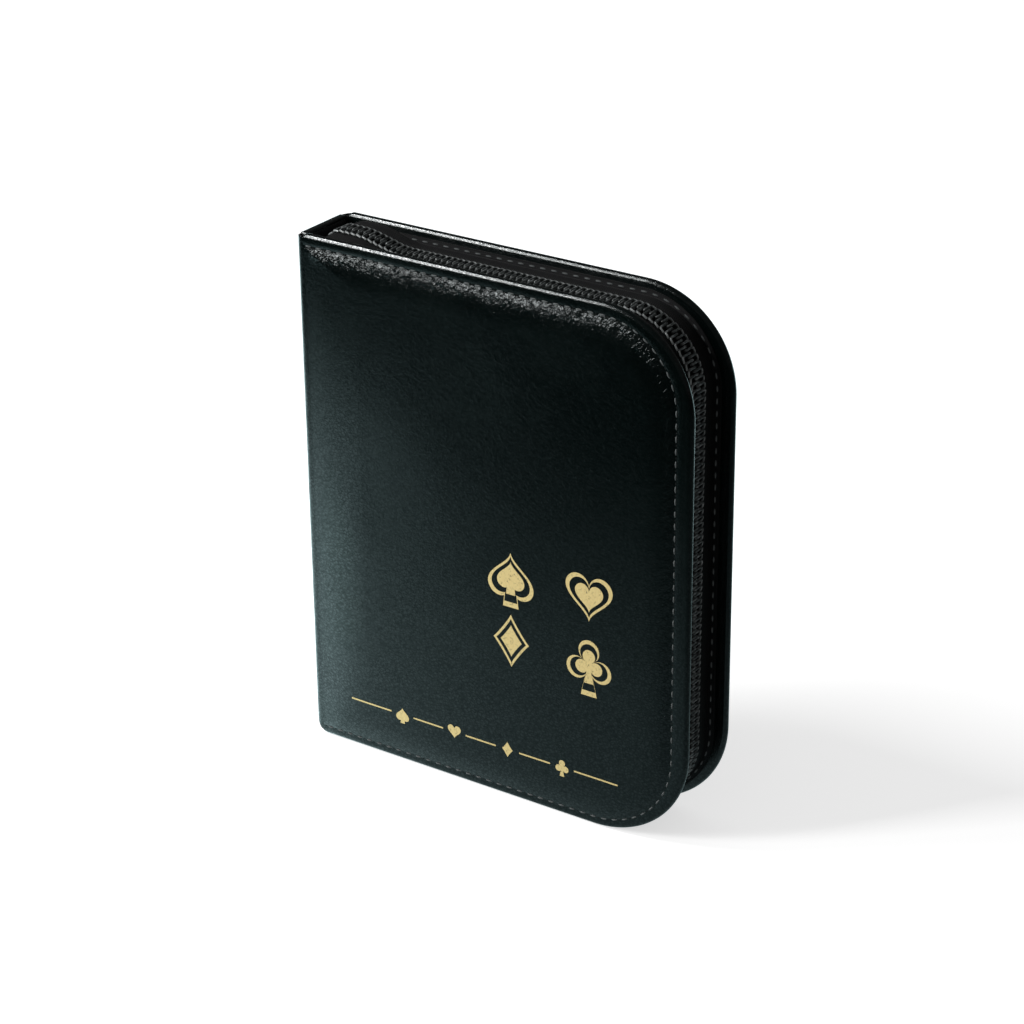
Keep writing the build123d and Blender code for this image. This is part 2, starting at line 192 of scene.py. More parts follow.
class Graph:
    """Node tree of one material."""

    def __init__(self, name: str) -> None:
        """Starts an empty tree.

        Args:
            name: name of the material.
        """
        self.material = bpy.data.materials.new(name)
        self.material.use_nodes = True
        self.tree = self.material.node_tree
        self.tree.nodes.clear()

    def node(self, kind: str, settings: dict, sockets: dict) -> bpy.types.Node:
        """Adds a node.

        Args:
            kind: the node's type.
            settings: its properties, set first. A ramp's stops come as (place, colour) pairs.
            sockets: values or links of its inputs, by name or number.

        Returns:
            The node.
        """
        node = self.tree.nodes.new(kind)
        for key, setting in settings.items():
            if key == "stops":
                elements = node.color_ramp.elements
                for place, colour in setting[2:]:
                    elements.new(place)
                for element, (place, colour) in zip(elements, setting):
                    element.position, element.color = place, (*colour, 1.0)
            else:
                setattr(node, key, setting)
        for key, entry in sockets.items():
            entry = entry.socket if isinstance(entry, Value) else entry
            if isinstance(entry, Socket):
                self.tree.links.new(entry, node.inputs[key])
            elif isinstance(entry, tuple) and len(entry) == 3 and node.inputs[key].type == "RGBA":
                node.inputs[key].default_value = (*entry, 1.0)
            else:
                node.inputs[key].default_value = entry
        return node

    def value(self, kind: str, settings: dict, sockets: dict, output: str | int = 0) -> Value:
        """Adds a node and gives one of its outputs as a number."""
        return Value(self, self.node(kind, settings, sockets).outputs[output])

    def place(
        self, stretch: Triple = (1, 1, 1), turn: Triple = (0, 0, 0), shift: Triple = (0, 0, 0)
    ) -> Socket:
        """Position on the piece in millimetres.

        Args:
            stretch: factors that squeeze a pattern along X, Y and Z.
            turn: turn of the pattern in radians.
            shift: place in millimetres that becomes the pattern's zero.

        Returns:
            A vector socket.
        """
        coords = self.node("ShaderNodeTexCoord", {}, {}).outputs["Object"]
        scale = tuple(factor / MM for factor in stretch)
        moved = self.node(
            "ShaderNodeVectorMath",
            {"operation": "SUBTRACT"},
            {0: coords, 1: tuple(part * MM for part in shift)},
        ).outputs[0]
        turned = self.node("ShaderNodeMapping", {}, {"Vector": moved, "Rotation": turn}).outputs[0]
        return self.node("ShaderNodeMapping", {}, {"Vector": turned, "Scale": scale}).outputs[0]

    def uv(self) -> Socket:
        """The piece's own UV map, whose unit is a millimetre on woven pieces."""
        return self.node("ShaderNodeUVMap", {"uv_map": "UVMap"}, {}).outputs[0]

    def parts(self, vector: Socket) -> tuple[Value, Value, Value]:
        """The three numbers of a vector."""
        split = self.node("ShaderNodeSeparateXYZ", {}, {"Vector": vector})
        return tuple(Value(self, output) for output in split.outputs)

    def attribute(self, name: str) -> Value:
        """A number kept on the piece's vertices."""
        node = self.node("ShaderNodeAttribute", {"attribute_name": name}, {})
        return Value(self, node.outputs["Fac"])

    def noise(self, vector: Socket, scale: float, detail: float = 2.0, rough: float = 0.5) -> Value:
        """Cloudy noise from 0 to 1.

        Args:
            vector: where it is read.
            scale: lumps per unit of the vector.
            detail: octaves.
            rough: weight of the finer octaves.

        Returns:
            The noise.
        """
        sockets = {"Vector": vector, "Scale": scale, "Detail": detail, "Roughness": rough}
        return self.value("ShaderNodeTexNoise", {}, sockets)

    def warped(self, vector: Socket, scale: float, amount: float) -> Socket:
        """A vector pushed about by noise, so that a pattern on it isn't regular."""
        cloud = self.node("ShaderNodeTexNoise", {}, {"Vector": vector, "Scale": scale, "Detail": 1.0})
        push = self.node(
            "ShaderNodeVectorMath",
            {"operation": "SCALE"},
            {0: cloud.outputs["Color"], "Scale": amount},
        )
        return self.node(
            "ShaderNodeVectorMath", {"operation": "ADD"}, {0: vector, 1: push.outputs[0]}
        ).outputs[0]

    def cells(self, vector: Socket, scale: float) -> Value:
        """Distance to the nearest edge between cells."""
        settings = {"feature": "DISTANCE_TO_EDGE"}
        return self.value("ShaderNodeTexVoronoi", settings, {"Vector": vector, "Scale": scale})

    def blend(self, factor: Value | float, first: object, second: object) -> Socket:
        """Mixes two colours.

        Args:
            factor: share of the second.
            first: colour or socket.
            second: colour or socket.

        Returns:
            The mixed colour's socket.
        """
        settings = {"data_type": "RGBA"}
        return self.node("ShaderNodeMix", settings, {0: factor, 6: first, 7: second}).outputs[2]

    def bump(self, height: Value, depth: float) -> Socket:
        """Normal of a surface with a height.

        Args:
            height: height from 0 to 1.
            depth: what 1 stands for, in millimetres.

        Returns:
            The normal's socket.
        """
        sockets = {"Height": height, "Distance": depth * MM, "Strength": 1.0}
        return self.node("ShaderNodeBump", {}, sockets).outputs[0]

    def surface(self, sockets: dict) -> Material:
        """Ends the tree in one Principled shader.

        Args:
            sockets: values or links of the shader's inputs.

        Returns:
            The finished material.
        """
        shader = self.node("ShaderNodeBsdfPrincipled", {}, sockets)
        self.node("ShaderNodeOutputMaterial", {}, {"Surface": shader.outputs[0]})
        return self.material


# Finishes


@dataclass(frozen=True)
class Leatherette:
    """Glossy black leatherette with a fine pebbled grain and sharp creases where it is gathered."""

    name: str = "leatherette"
    colour: Triple = (0.0005, 0.0019, 0.0018)
    scuff: Triple = (0.0012, 0.0032, 0.0030)
    glare: Triple = (0.93, 1.0, 1.0)
    grain_per_mm: float = 1.25
    grain_depth: float = 0.022
    crease_depth: float = 0.20
    gloss: float = 0.17
    ior: float = 1.40

    def build(self) -> Material:
        """Material with pebbles, fine pores, creases in the gathered zones and faint scuffs."""
        g = Graph(self.name)
        spot = g.place(stretch=(0.72, 1.0, 1.2), turn=(0, math.radians(-20), 0))
        loose = g.warped(spot, 0.9, 0.75)
        grain = g.cells(loose, self.grain_per_mm)
        pebbles, tops = grain.ramp(0.0, 0.22), grain.ramp(0.02, 0.34)
        pores = g.cells(loose, self.grain_per_mm * 2.7).ramp(0.0, 0.16)
        swell = g.noise(spot, 0.50, 3.0)
        slant = g.place(stretch=(0.55, 0.8, 1.6), turn=(0, math.radians(50), 0))
        across = g.place(stretch=(1.5, 0.8, 0.6), turn=(0, math.radians(62), 0))
        streaks = g.noise(slant, 0.75, 2.0, 0.5)
        folds = g.noise(across, 0.55, 2.0, 0.5)
        gather = g.attribute("gather")
        creases = (streaks.ramp(0.42, 0.58) * 0.75 + folds.ramp(0.42, 0.58) * 0.5) * gather
        grit = g.noise(g.place(stretch=(0.7, 1.0, 1.5), turn=(0, math.radians(28), 0)), 1.15, 2.0, 0.6)
        height = pebbles * 0.55 + pores * 0.25 + swell * 0.6
        height = height + creases * (self.crease_depth / self.grain_depth)
        worn = g.noise(g.place(), 0.045, 4.0, 0.6).ramp(0.48, 0.72)
        patchy = g.noise(spot, 1.6, 2.0).ramp(0.3, 0.7, self.gloss - 0.03, self.gloss + 0.05)
        return g.surface(
            {
                "Base Color": g.blend(worn, self.colour, self.scuff),
                "Roughness": patchy + worn * 0.03 - gather * 0.05,
                "IOR": self.ior,
                "Specular Tint": (*self.glare, 1.0),
                "Coat Weight": tops * 0.65 + grit.ramp(0.28, 0.72) * 0.3,
                "Coat Roughness": self.gloss,
                "Normal": g.bump(height, self.grain_depth),
            }
        )


@dataclass(frozen=True)
class WovenTape:
    """Black polyester zip tape: a fine herringbone with rows of lock stitches beside the coil."""

    name: str = "zip_tape"
    colour: Triple = (0.0014, 0.0016, 0.0018)
    light: Triple = (0.0049, 0.0054, 0.0059)
    rib: float = 0.55

    def build(self) -> Material:
        """Material that follows the tape's own UV map, in millimetres along and across it."""
        g = Graph(self.name)
        along, across, _ = g.parts(g.uv())
        zigzag = (across.wave(2.4) - 0.5) * 1.1
        twill = (along + zigzag).wave(self.rib)
        ribs = across.wave(self.rib)
        yarn = twill * 0.6 + ribs * 0.4
        fuzz = g.noise(g.place(), 4.0, 3.0)
        return g.surface(
            {
                "Base Color": g.blend(yarn * 0.7 + fuzz * 0.3, self.colour, self.light),
                "Roughness": yarn.ramp(0.0, 1.0, 0.85, 0.58),
                "Specular IOR Level": 0.3,
                "Normal": g.bump(yarn + fuzz * 0.3, 0.10),
            }
        )


@dataclass(frozen=True)
class Nylon:
    """Black nylon monofilament of the coil, slightly glossy, with a highlight painted in light grey on the
    outer bends of its loops.
    """

    name: str = "zip_coil"
    colour: Triple = (0.035, 0.040, 0.040)
    # Light grey of random rubbed patches and of the painted highlight on the loops' outer bends.
    rubbed: Triple = (0.30, 0.32, 0.32)
    gloss: float = 0.22

    def build(self) -> Material:
        """Material with drawing lines along the thread, rubbed patches and a painted highlight on the outer
        bends of the loops.
        """
        g = Graph(self.name)
        spot = g.place()
        # Light grey on random rubbed patches, and as a painted highlight on the outer bends of the loops
        # that build_coil marks.
        rubbed = g.noise(spot, 0.9, 3.0).ramp(0.45, 0.7) * 0.4 + g.attribute("worn") * 0.6
        lines = g.noise(g.place(stretch=(3.0, 0.4, 3.0)), 2.2, 2.0)
        return g.surface(
            {
                "Base Color": g.blend(rubbed, self.colour, self.rubbed),
                "Roughness": lines.ramp(0.3, 0.7, self.gloss, self.gloss + 0.16),
                "Normal": g.bump(lines, 0.02),
            }
        )


@dataclass(frozen=True)
class Enamel:
    """Black enamelled zinc of the slider, pull and stops, rubbed to the metal on its edges."""

    name: str = "zip_metal"
    colour: Triple = (0.010, 0.010, 0.011)
    metal: Triple = (0.46, 0.45, 0.43)

    def build(self) -> Material:
        """Material with orange-peel enamel and small bright chips."""
        g = Graph(self.name)
        spot = g.place()
        chips = g.noise(spot, 1.5, 5.0, 0.7).ramp(0.66, 0.70)
        peel = g.noise(spot, 3.2, 2.0)
        return g.surface(
            {
                "Base Color": g.blend(chips, self.colour, self.metal),
                "Metallic": chips,
                "Roughness": peel.ramp(0.3, 0.7, 0.20, 0.32) + chips * 0.1,
                "Normal": g.bump(peel - chips * 0.6, 0.02),
            }
        )


@dataclass(frozen=True)
class Lining:
    """Fine matt black cloth with a plain weave."""

    name: str = "lining"
    colour: Triple = (0.004, 0.0042, 0.0048)
    light: Triple = (0.0125, 0.013, 0.0145)
    yarns_per_mm: float = 2.2

    def build(self) -> Material:
        """Material with warp and weft in the plane that the cloth lies in."""
        g = Graph(self.name)
        x, y, z = g.parts(g.place())
        warp = (x + y).wave(2 / self.yarns_per_mm)
        weft = z.wave(2 / self.yarns_per_mm)
        weave = (warp - weft).size()
        slub = g.noise(g.place(stretch=(0.2, 0.2, 2.0)), 0.8, 3.0)
        return g.surface(
            {
                "Base Color": g.blend(weave * 0.6 + slub * 0.4, self.colour, self.light),
                "Roughness": slub.ramp(0.2, 0.8, 0.80, 0.95),
                "Normal": g.bump(weave + slub * 0.5, 0.07),
            }
        )


@dataclass(frozen=True)
class Greyboard:
    """Raw grey bookbinding board with flecks of fibre."""

    name: str = "greyboard"
    colour: Triple = (0.33, 0.31, 0.27)
    fleck: Triple = (0.16, 0.14, 0.12)

    def build(self) -> Material:
        """Material with flecks and a felt-like surface."""
        g = Graph(self.name)
        flecks = g.noise(g.place(stretch=(1.0, 1.0, 0.5)), 1.4, 4.0, 0.7).ramp(0.56, 0.66)
        felt = g.noise(g.place(), 2.4, 4.0)
        return g.surface(
            {
                "Base Color": g.blend(flecks, self.colour, self.fleck),
                "Roughness": felt.ramp(0.3, 0.7, 0.82, 0.94),
                "Normal": g.bump(felt, 0.08),
            }
        )


@dataclass(frozen=True)
class Foam:
    """Thin open-cell foam sheet, slightly yellowed."""

    name: str = "foam"
    colour: Triple = (0.62, 0.59, 0.50)
    pore: Triple = (0.36, 0.33, 0.26)

    def build(self) -> Material:
        """Material with open pores."""
        g = Graph(self.name)
        pores = g.cells(g.warped(g.place(), 1.0, 0.4), 1.8).ramp(0.02, 0.22)
        return g.surface(
            {
                "Base Color": g.blend(pores, self.pore, self.colour),
                "Roughness": pores.ramp(0.0, 1.0, 0.95, 0.85),
                "Normal": g.bump(pores, 0.15),
            }
        )


@dataclass(frozen=True)
class Flock:
    """Black flocked plastic of the moulded tray."""

    name: str = "tray_plastic"
    colour: Triple = (0.010, 0.010, 0.011)
    tip: Triple = (0.040, 0.040, 0.043)

    def build(self) -> Material:
        """Material with short fibres and brushed patches."""
        g = Graph(self.name)
        fibres = g.noise(g.place(), 6.0, 4.0, 0.7)
        brushed = g.noise(g.place(), 0.06, 3.0)
        return g.surface(
            {
                "Base Color": g.blend(fibres * 0.6 + brushed * 0.4, self.colour, self.tip),
                "Roughness": brushed.ramp(0.3, 0.7, 0.88, 0.98),
                "Normal": g.bump(fibres, 0.12),
            }
        )


@dataclass(frozen=True)
class CardStock:
    """Playing cards seen from the back: white stock with a lattice of lozenges inside a border."""

    name: str
    ink: Triple
    centre: Pair
    half_size: Pair = (45.5, 29.5)
    stock: Triple = (0.80, 0.79, 0.75)
    border: float = 4.0
    lozenge: float = 3.2

    def build(self) -> Material:
        """Material whose lattice is centred on the deck."""
        g = Graph(self.name)
        x, _, z = g.parts(g.place(shift=(self.centre[0], 0.0, self.centre[1])))
        first = (x + z).wave(self.lozenge)
        second = (x - z).wave(self.lozenge)
        lines = first.most(second).ramp(0.90, 0.95)
        dots = (first * second).ramp(0.03, 0.015)
        edge = (self.half_size[0] - self.border - x.size()).least(
            self.half_size[1] - self.border - z.size()
        )
        field_mask = edge.ramp(0.0, 0.08)
        frame_line = edge.ramp(0.5, 0.58) * edge.ramp(1.1, 1.02)
        inked = field_mask * (1 - lines.most(dots * 0.9).most(frame_line))
        linen = (x.wave(0.45) * z.wave(0.45)) + g.noise(g.place(), 2.0, 2.0) * 0.2
        grime = g.noise(g.place(), 0.12, 4.0).ramp(0.5, 0.75)
        paper = g.blend(grime * 0.35, self.stock, (0.62, 0.58, 0.50))
        return g.surface(
            {
                "Base Color": g.blend(inked, paper, self.ink),
                "Roughness": linen.ramp(0.0, 1.0, 0.34, 0.48),
                "Normal": g.bump(linen, 0.02),
            }
        )


@dataclass(frozen=True)
class Foil:
    """Gold foil stamped into the grain, thin enough for the leatherette to show through."""

    name: str = "gold_foil"
    colour: Triple = (0.80, 0.625, 0.275)
    gap: Triple = (0.10, 0.08, 0.04)

    def build(self) -> Material:
        """Material with the leatherette's grain and small bare specks."""
        g = Graph(self.name)
        spot = g.place(stretch=(1.0, 1.0, 0.78), turn=(0, math.radians(28), 0))
        grain = g.cells(g.warped(spot, 0.9, 0.75), 1.15)
        bare = grain.ramp(0.05, 0.0) * g.noise(spot, 1.3, 3.0).ramp(0.45, 0.65)
        return g.surface(
            {
                "Base Color": g.blend(bare, self.colour, self.gap),
                "Metallic": 0.3,
                "Roughness": bare.ramp(0.0, 1.0, 0.34, 0.5),
                "Normal": g.bump(grain.ramp(0.0, 0.2), 0.03),
            }
        )


@dataclass(frozen=True)
class Thread:
    """Black polyester sewing thread, twisted from two plies."""

    name: str = "thread"
    colour: Triple = (0.027, 0.031, 0.031)
    light: Triple = (0.115, 0.128, 0.128)
    needle: Triple = (0.001, 0.001, 0.001)

    def build(self) -> Material:
        """Material with slanted plies."""
        g = Graph(self.name)
        x, y, z = g.parts(g.place())
        plies = (x + z + y * 1.4).wave(0.42)
        fuzz = g.noise(g.place(), 5.0, 2.0)
        return g.surface(
            {
                "Base Color": g.blend(
                    g.attribute("hole"),
                    g.blend(plies * 0.7 + fuzz * 0.3, self.colour, self.light),
                    self.needle,
                ),
                "Roughness": fuzz.ramp(0.3, 0.7, 0.42, 0.62).most(g.attribute("hole")),
                "Normal": g.bump(plies, 0.05),
            }
        )


@dataclass(frozen=True)
class Wardrobe:
    """One material of each finish, made once and shared."""

    leatherette: Material = field(default_factory=lambda: Leatherette().build())
    tape: Material = field(default_factory=lambda: WovenTape().build())
    coil: Material = field(default_factory=lambda: Nylon().build())
    metal: Material = field(default_factory=lambda: Enamel().build())
    lining: Material = field(default_factory=lambda: Lining().build())
    board: Material = field(default_factory=lambda: Greyboard().build())
    foam: Material = field(default_factory=lambda: Foam().build())
    tray: Material = field(default_factory=lambda: Flock().build())
    foil: Material = field(default_factory=lambda: Foil().build())
    thread: Material = field(default_factory=lambda: Thread().build())


# Modelling by hand


def select_only(*objects: Piece) -> None:
    """Selects these objects alone and makes the first of them active."""
    bpy.ops.object.select_all(action="DESELECT")
    for item in objects:
        item.select_set(True)
    bpy.context.view_layer.objects.active = objects[0] if objects else None


def added(name: str, operator: Callable, **options: object) -> Piece:
    """Adds a primitive with nothing else selected.

    Args:
        name: name of the new object and its mesh.
        operator: operator that adds the primitive.
        options: the operator's settings.

    Returns:
        The new object.
    """
    select_only()
    operator(**options)
    item = bpy.context.view_layer.objects.active
    item.name = item.data.name = name
    return item


@contextmanager
def editing(item: Piece) -> Iterator[None]:
    """Edit mode on one object, left again at the end."""
    select_only(item)
    bpy.ops.object.mode_set(mode="EDIT")
    try:
        yield
    finally:
        bpy.ops.object.mode_set(mode="OBJECT")


@contextmanager
def sculpting(item: Piece) -> Iterator[bmesh.types.BMesh]:
    """The edit mesh of an object in edit mode, written back at the end."""
    mesh = bmesh.from_edit_mesh(item.data)
    mesh.verts.ensure_lookup_table()
    yield mesh
    bmesh.update_edit_mesh(item.data)


def finished(item: Piece, kind: str, **settings: object) -> Piece:
    """Adds a modifier and applies it.

    Args:
        item: object that gets it.
        kind: the modifier's type.
        settings: its properties.

    Returns:
        The object.
    """
    select_only(item)
    modifier = item.modifiers.new(kind.title(), kind)
    for key, setting in settings.items():
        setattr(modifier, key, setting)
    bpy.ops.object.modifier_apply(modifier=modifier.name)
    return item


def repeated(item: Piece, count: int, step: Triple) -> Piece:
    """Repeats a piece in a row.

    Args:
        item: the piece at its first place.
        count: how many there are in all.
        step: the way from one to the next, in millimetres.

    Returns:
        The row.
    """
    return finished(
        item,
        "ARRAY",
        fit_type="FIXED_COUNT",
        count=count,
        use_relative_offset=False,
        use_constant_offset=True,
        constant_offset_displace=[size * MM for size in step],
    )


def placed(item: Piece) -> Piece:
    """Moves an object's place, turn and scale into its mesh."""
    select_only(item)
    bpy.ops.object.transform_apply(location=True, rotation=True, scale=True)
    return item


def joined(name: str, *items: Piece) -> Piece:
    """Joins objects into one.

    Args:
        name: name of the result.
        items: what is joined.

    Returns:
        The joined object.
    """
    select_only(*items)
    if len(items) > 1:
        bpy.ops.object.join()
    items[0].name = items[0].data.name = name
    return items[0]


def removed(*items: Piece) -> None:
    """Deletes helper objects."""
    for item in items:
        bpy.data.objects.remove(item, do_unlink=True)


def tidy_normals(item: Piece) -> None:
    """Merges doubles and turns the faces of a closed piece outwards."""
    with editing(item):
        bpy.ops.mesh.select_all(action="SELECT")
        bpy.ops.mesh.remove_doubles(threshold=1e-6)
        bpy.ops.mesh.normals_make_consistent(inside=False)


def close_ends(item: Piece) -> None:
    """Fills the open ends of a shell and turns its faces outwards."""
    with editing(item):
        bpy.ops.mesh.select_all(action="DESELECT")
        bpy.ops.mesh.select_non_manifold()
        bpy.ops.mesh.fill()
    tidy_normals(item)


def face_towards(item: Piece, spot: Sequence[float], outward: Sequence[float]) -> None:
    """Turns an open skin's faces so that the one nearest a place looks outwards.

    Args:
        item: the open skin.
        spot: place in metres.
        outward: direction that the face there looks in.
    """
    tidy_normals(item)
    nearest = min(item.data.polygons, key=lambda face: (face.center - Vector(spot)).length_squared)
    if nearest.normal.dot(Vector(outward)) < 0:
        with editing(item):
            bpy.ops.mesh.select_all(action="SELECT")
            bpy.ops.mesh.flip_normals()


def smooth(item: Piece, degrees: float = 40.0) -> None:
    """Shades smooth, with sharp edges past an angle."""
    select_only(item)
    bpy.ops.object.shade_smooth_by_angle(angle=math.radians(degrees))


def dressed(item: Piece, material: Material) -> None:
    """Gives an object one material."""
    item.data.materials.clear()
    item.data.materials.append(material)


def handed_in(
    item: Piece, body: str, material: Material, nodes: Sequence[str] = ()
) -> Piece:
    """Dresses a finished piece and puts it on its body.

    Args:
        item: the piece.
        body: body that it rides on.
        material: its finish.
        nodes: CAD nodes that it stands for.

    Returns:
        The piece.
    """
    dressed(item, material)
    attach(item, body)
    if nodes:
        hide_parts(*nodes)
    log.info("%s: %d faces on %s", item.name, len(item.data.polygons), body)
    return item


def set_number(item: Piece, name: str, numbers: np.ndarray) -> None:
    """Keeps a number on each vertex for the material.

    Args:
        item: the piece.
        name: name of the attribute.
        numbers: one number for each vertex.
    """
    attribute = item.data.attributes.get(name) or item.data.attributes.new(name, "FLOAT", "POINT")
    attribute.data.foreach_set("value", numbers.astype(np.float32))


def vertices(item: Piece) -> np.ndarray:
    """Places of a mesh's vertices in millimetres."""
    flat = np.empty(len(item.data.vertices) * 3)
    item.data.vertices.foreach_get("co", flat)
    return flat.reshape(-1, 3) / MM


def set_vertices(item: Piece, places: np.ndarray) -> None:
    """Sets the places of a mesh's vertices from millimetres."""
    item.data.vertices.foreach_set("co", (places * MM).ravel())
    item.data.update()


def hump(distance: np.ndarray, middle: float, width: float) -> np.ndarray:
    """A bell from 0 to 1 across a row."""
    return np.exp(-(((distance - middle) / width) ** 2))


@dataclass(frozen=True)
class Ring:
    """One ring of a skin: its depth, and how far it lies inside each side of the outline."""

    inset: float
    depth: float
    left: float | None = None
    bottom: float | None = None
    right: float | None = None

    @property
    def insets(self) -> list[float]:
        """Distances inside the left, bottom, right and top sides."""
        sides = (self.left, self.bottom, self.right, self.inset)
        return [self.inset if side is None else side for side in sides]


@dataclass(frozen=True)
class RoundedOutline:
    """Rectangle with four rounded corners, walked from the middle of its lower left corner."""

    left: float
    right: float
    bottom: float
    top: float
    radii: tuple[float, float, float, float]
    corner_steps: tuple[int, int, int, int]
    side_steps: tuple[int, int, int, int]

    @property
    def grid_steps(self) -> tuple[int, int]:
        """Steps along the bottom and along the right between the middles of the corners."""
        low_left, low_right, high_right, _ = self.corner_steps
        bottom, right, _, _ = self.side_steps
        across = low_left // 2 + bottom + low_right // 2
        up = low_right // 2 + right + high_right // 2
        return across, up

    def ring(self, insets: Sequence[float]) -> np.ndarray:
        """Stations of the outline drawn in from its sides.

        Args:
            insets: distances inside the left, bottom, right and top sides.

        Returns:
            An array of (across, up) pairs.
        """
        left, bottom = self.left + insets[0], self.bottom + insets[1]
        right, top = self.right - insets[2], self.top - insets[3]
        least = 0.25
        drawn = [max(insets[index], insets[(index + 1) % 4]) for index in range(4)]
        sharp = [max(radius - inset, min(radius, least)) for radius, inset in zip(self.radii, drawn)]
        corners = [
            (left + sharp[0], bottom + sharp[0], 180.0),
            (right - sharp[1], bottom + sharp[1], 270.0),
            (right - sharp[2], top - sharp[2], 0.0),
            (left + sharp[3], top - sharp[3], 90.0),
        ]
        arcs = []
        for (x, z, start), radius, steps in zip(corners, sharp, self.corner_steps):
            angles = np.radians(start + np.linspace(0, 90, steps + 1))
            arcs.append(np.stack([x + radius * np.cos(angles), z + radius * np.sin(angles)], -1))
        stations = []
        for index in range(4):
            after = arcs[(index + 1) % 4]
            shares = np.linspace(0, 1, self.side_steps[index] + 1)[1:-1, None]
            stations += [arcs[index], arcs[index][-1] * (1 - shares) + after[0] * shares]
        walk = np.concatenate(stations)
        return np.roll(walk, -(self.corner_steps[0] // 2), axis=0)

    def grid(self, edge: np.ndarray) -> np.ndarray:
        """Even mesh of places inside a ring.

        Args:
            edge: the ring's stations, of any number of coordinates.

        Returns:
            An array of places, by steps across and up.
        """
        across, up = self.grid_steps
        low, right = edge[: across + 1], edge[across : across + up + 1]
        high = edge[across + up : 2 * across + up + 1][::-1]
        left = np.concatenate([edge[2 * across + up :], edge[:1]])[::-1]
        u = np.linspace(0, 1, across + 1)[:, None, None]
        v = np.linspace(0, 1, up + 1)[None, :, None]
        sides = (1 - v) * low[:, None] + v * high[:, None] + (1 - u) * left[None] + u * right[None]
        corners = (
            (1 - u) * (1 - v) * low[0] + u * (1 - v) * low[-1] + (1 - u) * v * high[0] + u * v * high[-1]
        )
        return sides - corners

    def inside(self, places: np.ndarray) -> np.ndarray:
        """Distance of places from the outline, positive inside."""
        middle = np.array([(self.left + self.right) / 2, (self.bottom + self.top) / 2])
        half = np.array([(self.right - self.left) / 2, (self.top - self.bottom) / 2])
        away = places - middle
        radii = np.where(
            away[:, 0] > 0,
            np.where(away[:, 1] > 0, self.radii[2], self.radii[1]),
            np.where(away[:, 1] > 0, self.radii[3], self.radii[0]),
        )
        past = np.abs(away) - half + radii[:, None]
        outside = np.linalg.norm(np.maximum(past, 0), axis=1)
        return radii - outside - np.minimum(past.max(axis=1), 0)

    def skin(self, name: str, rings: Sequence[Ring], place: Placer, facing: int = 1) -> Piece:
        """Draws an open skin ring by ring and closes its last ring with an even grid.

        Args:
            name: name of the piece.
            rings: rings from the skin's free edge to its middle.
            place: turns (across, up) pairs and depths into places in millimetres.
            facing: 1 if its middle looks towards greater depths, -1 if it looks back.

        Returns:
            The open skin.
        """
        tables = [
            place(self.ring(ring.insets), np.array(ring.depth)) * MM for ring in rings
        ]
        count = len(tables[0])
        item = added(
            name,
            bpy.ops.mesh.primitive_circle_add,
            vertices=count,
            radius=(self.right - self.left) / 2 * MM,
            fill_type="NOTHING",
        )
        with editing(item):
            with sculpting(item) as mesh:
                station = mesh.verts.layers.int.new("station")
                for index, vertex in enumerate(mesh.verts):
                    vertex[station] = index
                    vertex.co = tables[0][index]
            for table in tables[1:]:
                bpy.ops.mesh.extrude_region_move()
                with sculpting(item) as mesh:
                    station = mesh.verts.layers.int["station"]
                    for vertex in mesh.verts:
                        if vertex.select:
                            vertex.co = table[vertex[station]]
        across, up = self.grid_steps
        middle = added(
            name + "_middle",
            bpy.ops.mesh.primitive_grid_add,
            x_subdivisions=across,
            y_subdivisions=up,
            size=1.0,
        )
        net = self.grid(tables[-1])
        with editing(middle), sculpting(middle) as mesh:
            for vertex in mesh.verts:
                step = (round((vertex.co.x + 0.5) * across), round((vertex.co.y + 0.5) * up))
                vertex.co = net[step]
        item = joined(name, item, middle)
        spot = net[across // 2, up // 2]
        lift = place(np.zeros((1, 2)), np.array(1.0)) - place(np.zeros((1, 2)), np.array(0.0))
        face_towards(item, spot, lift[0] * facing)
        return item


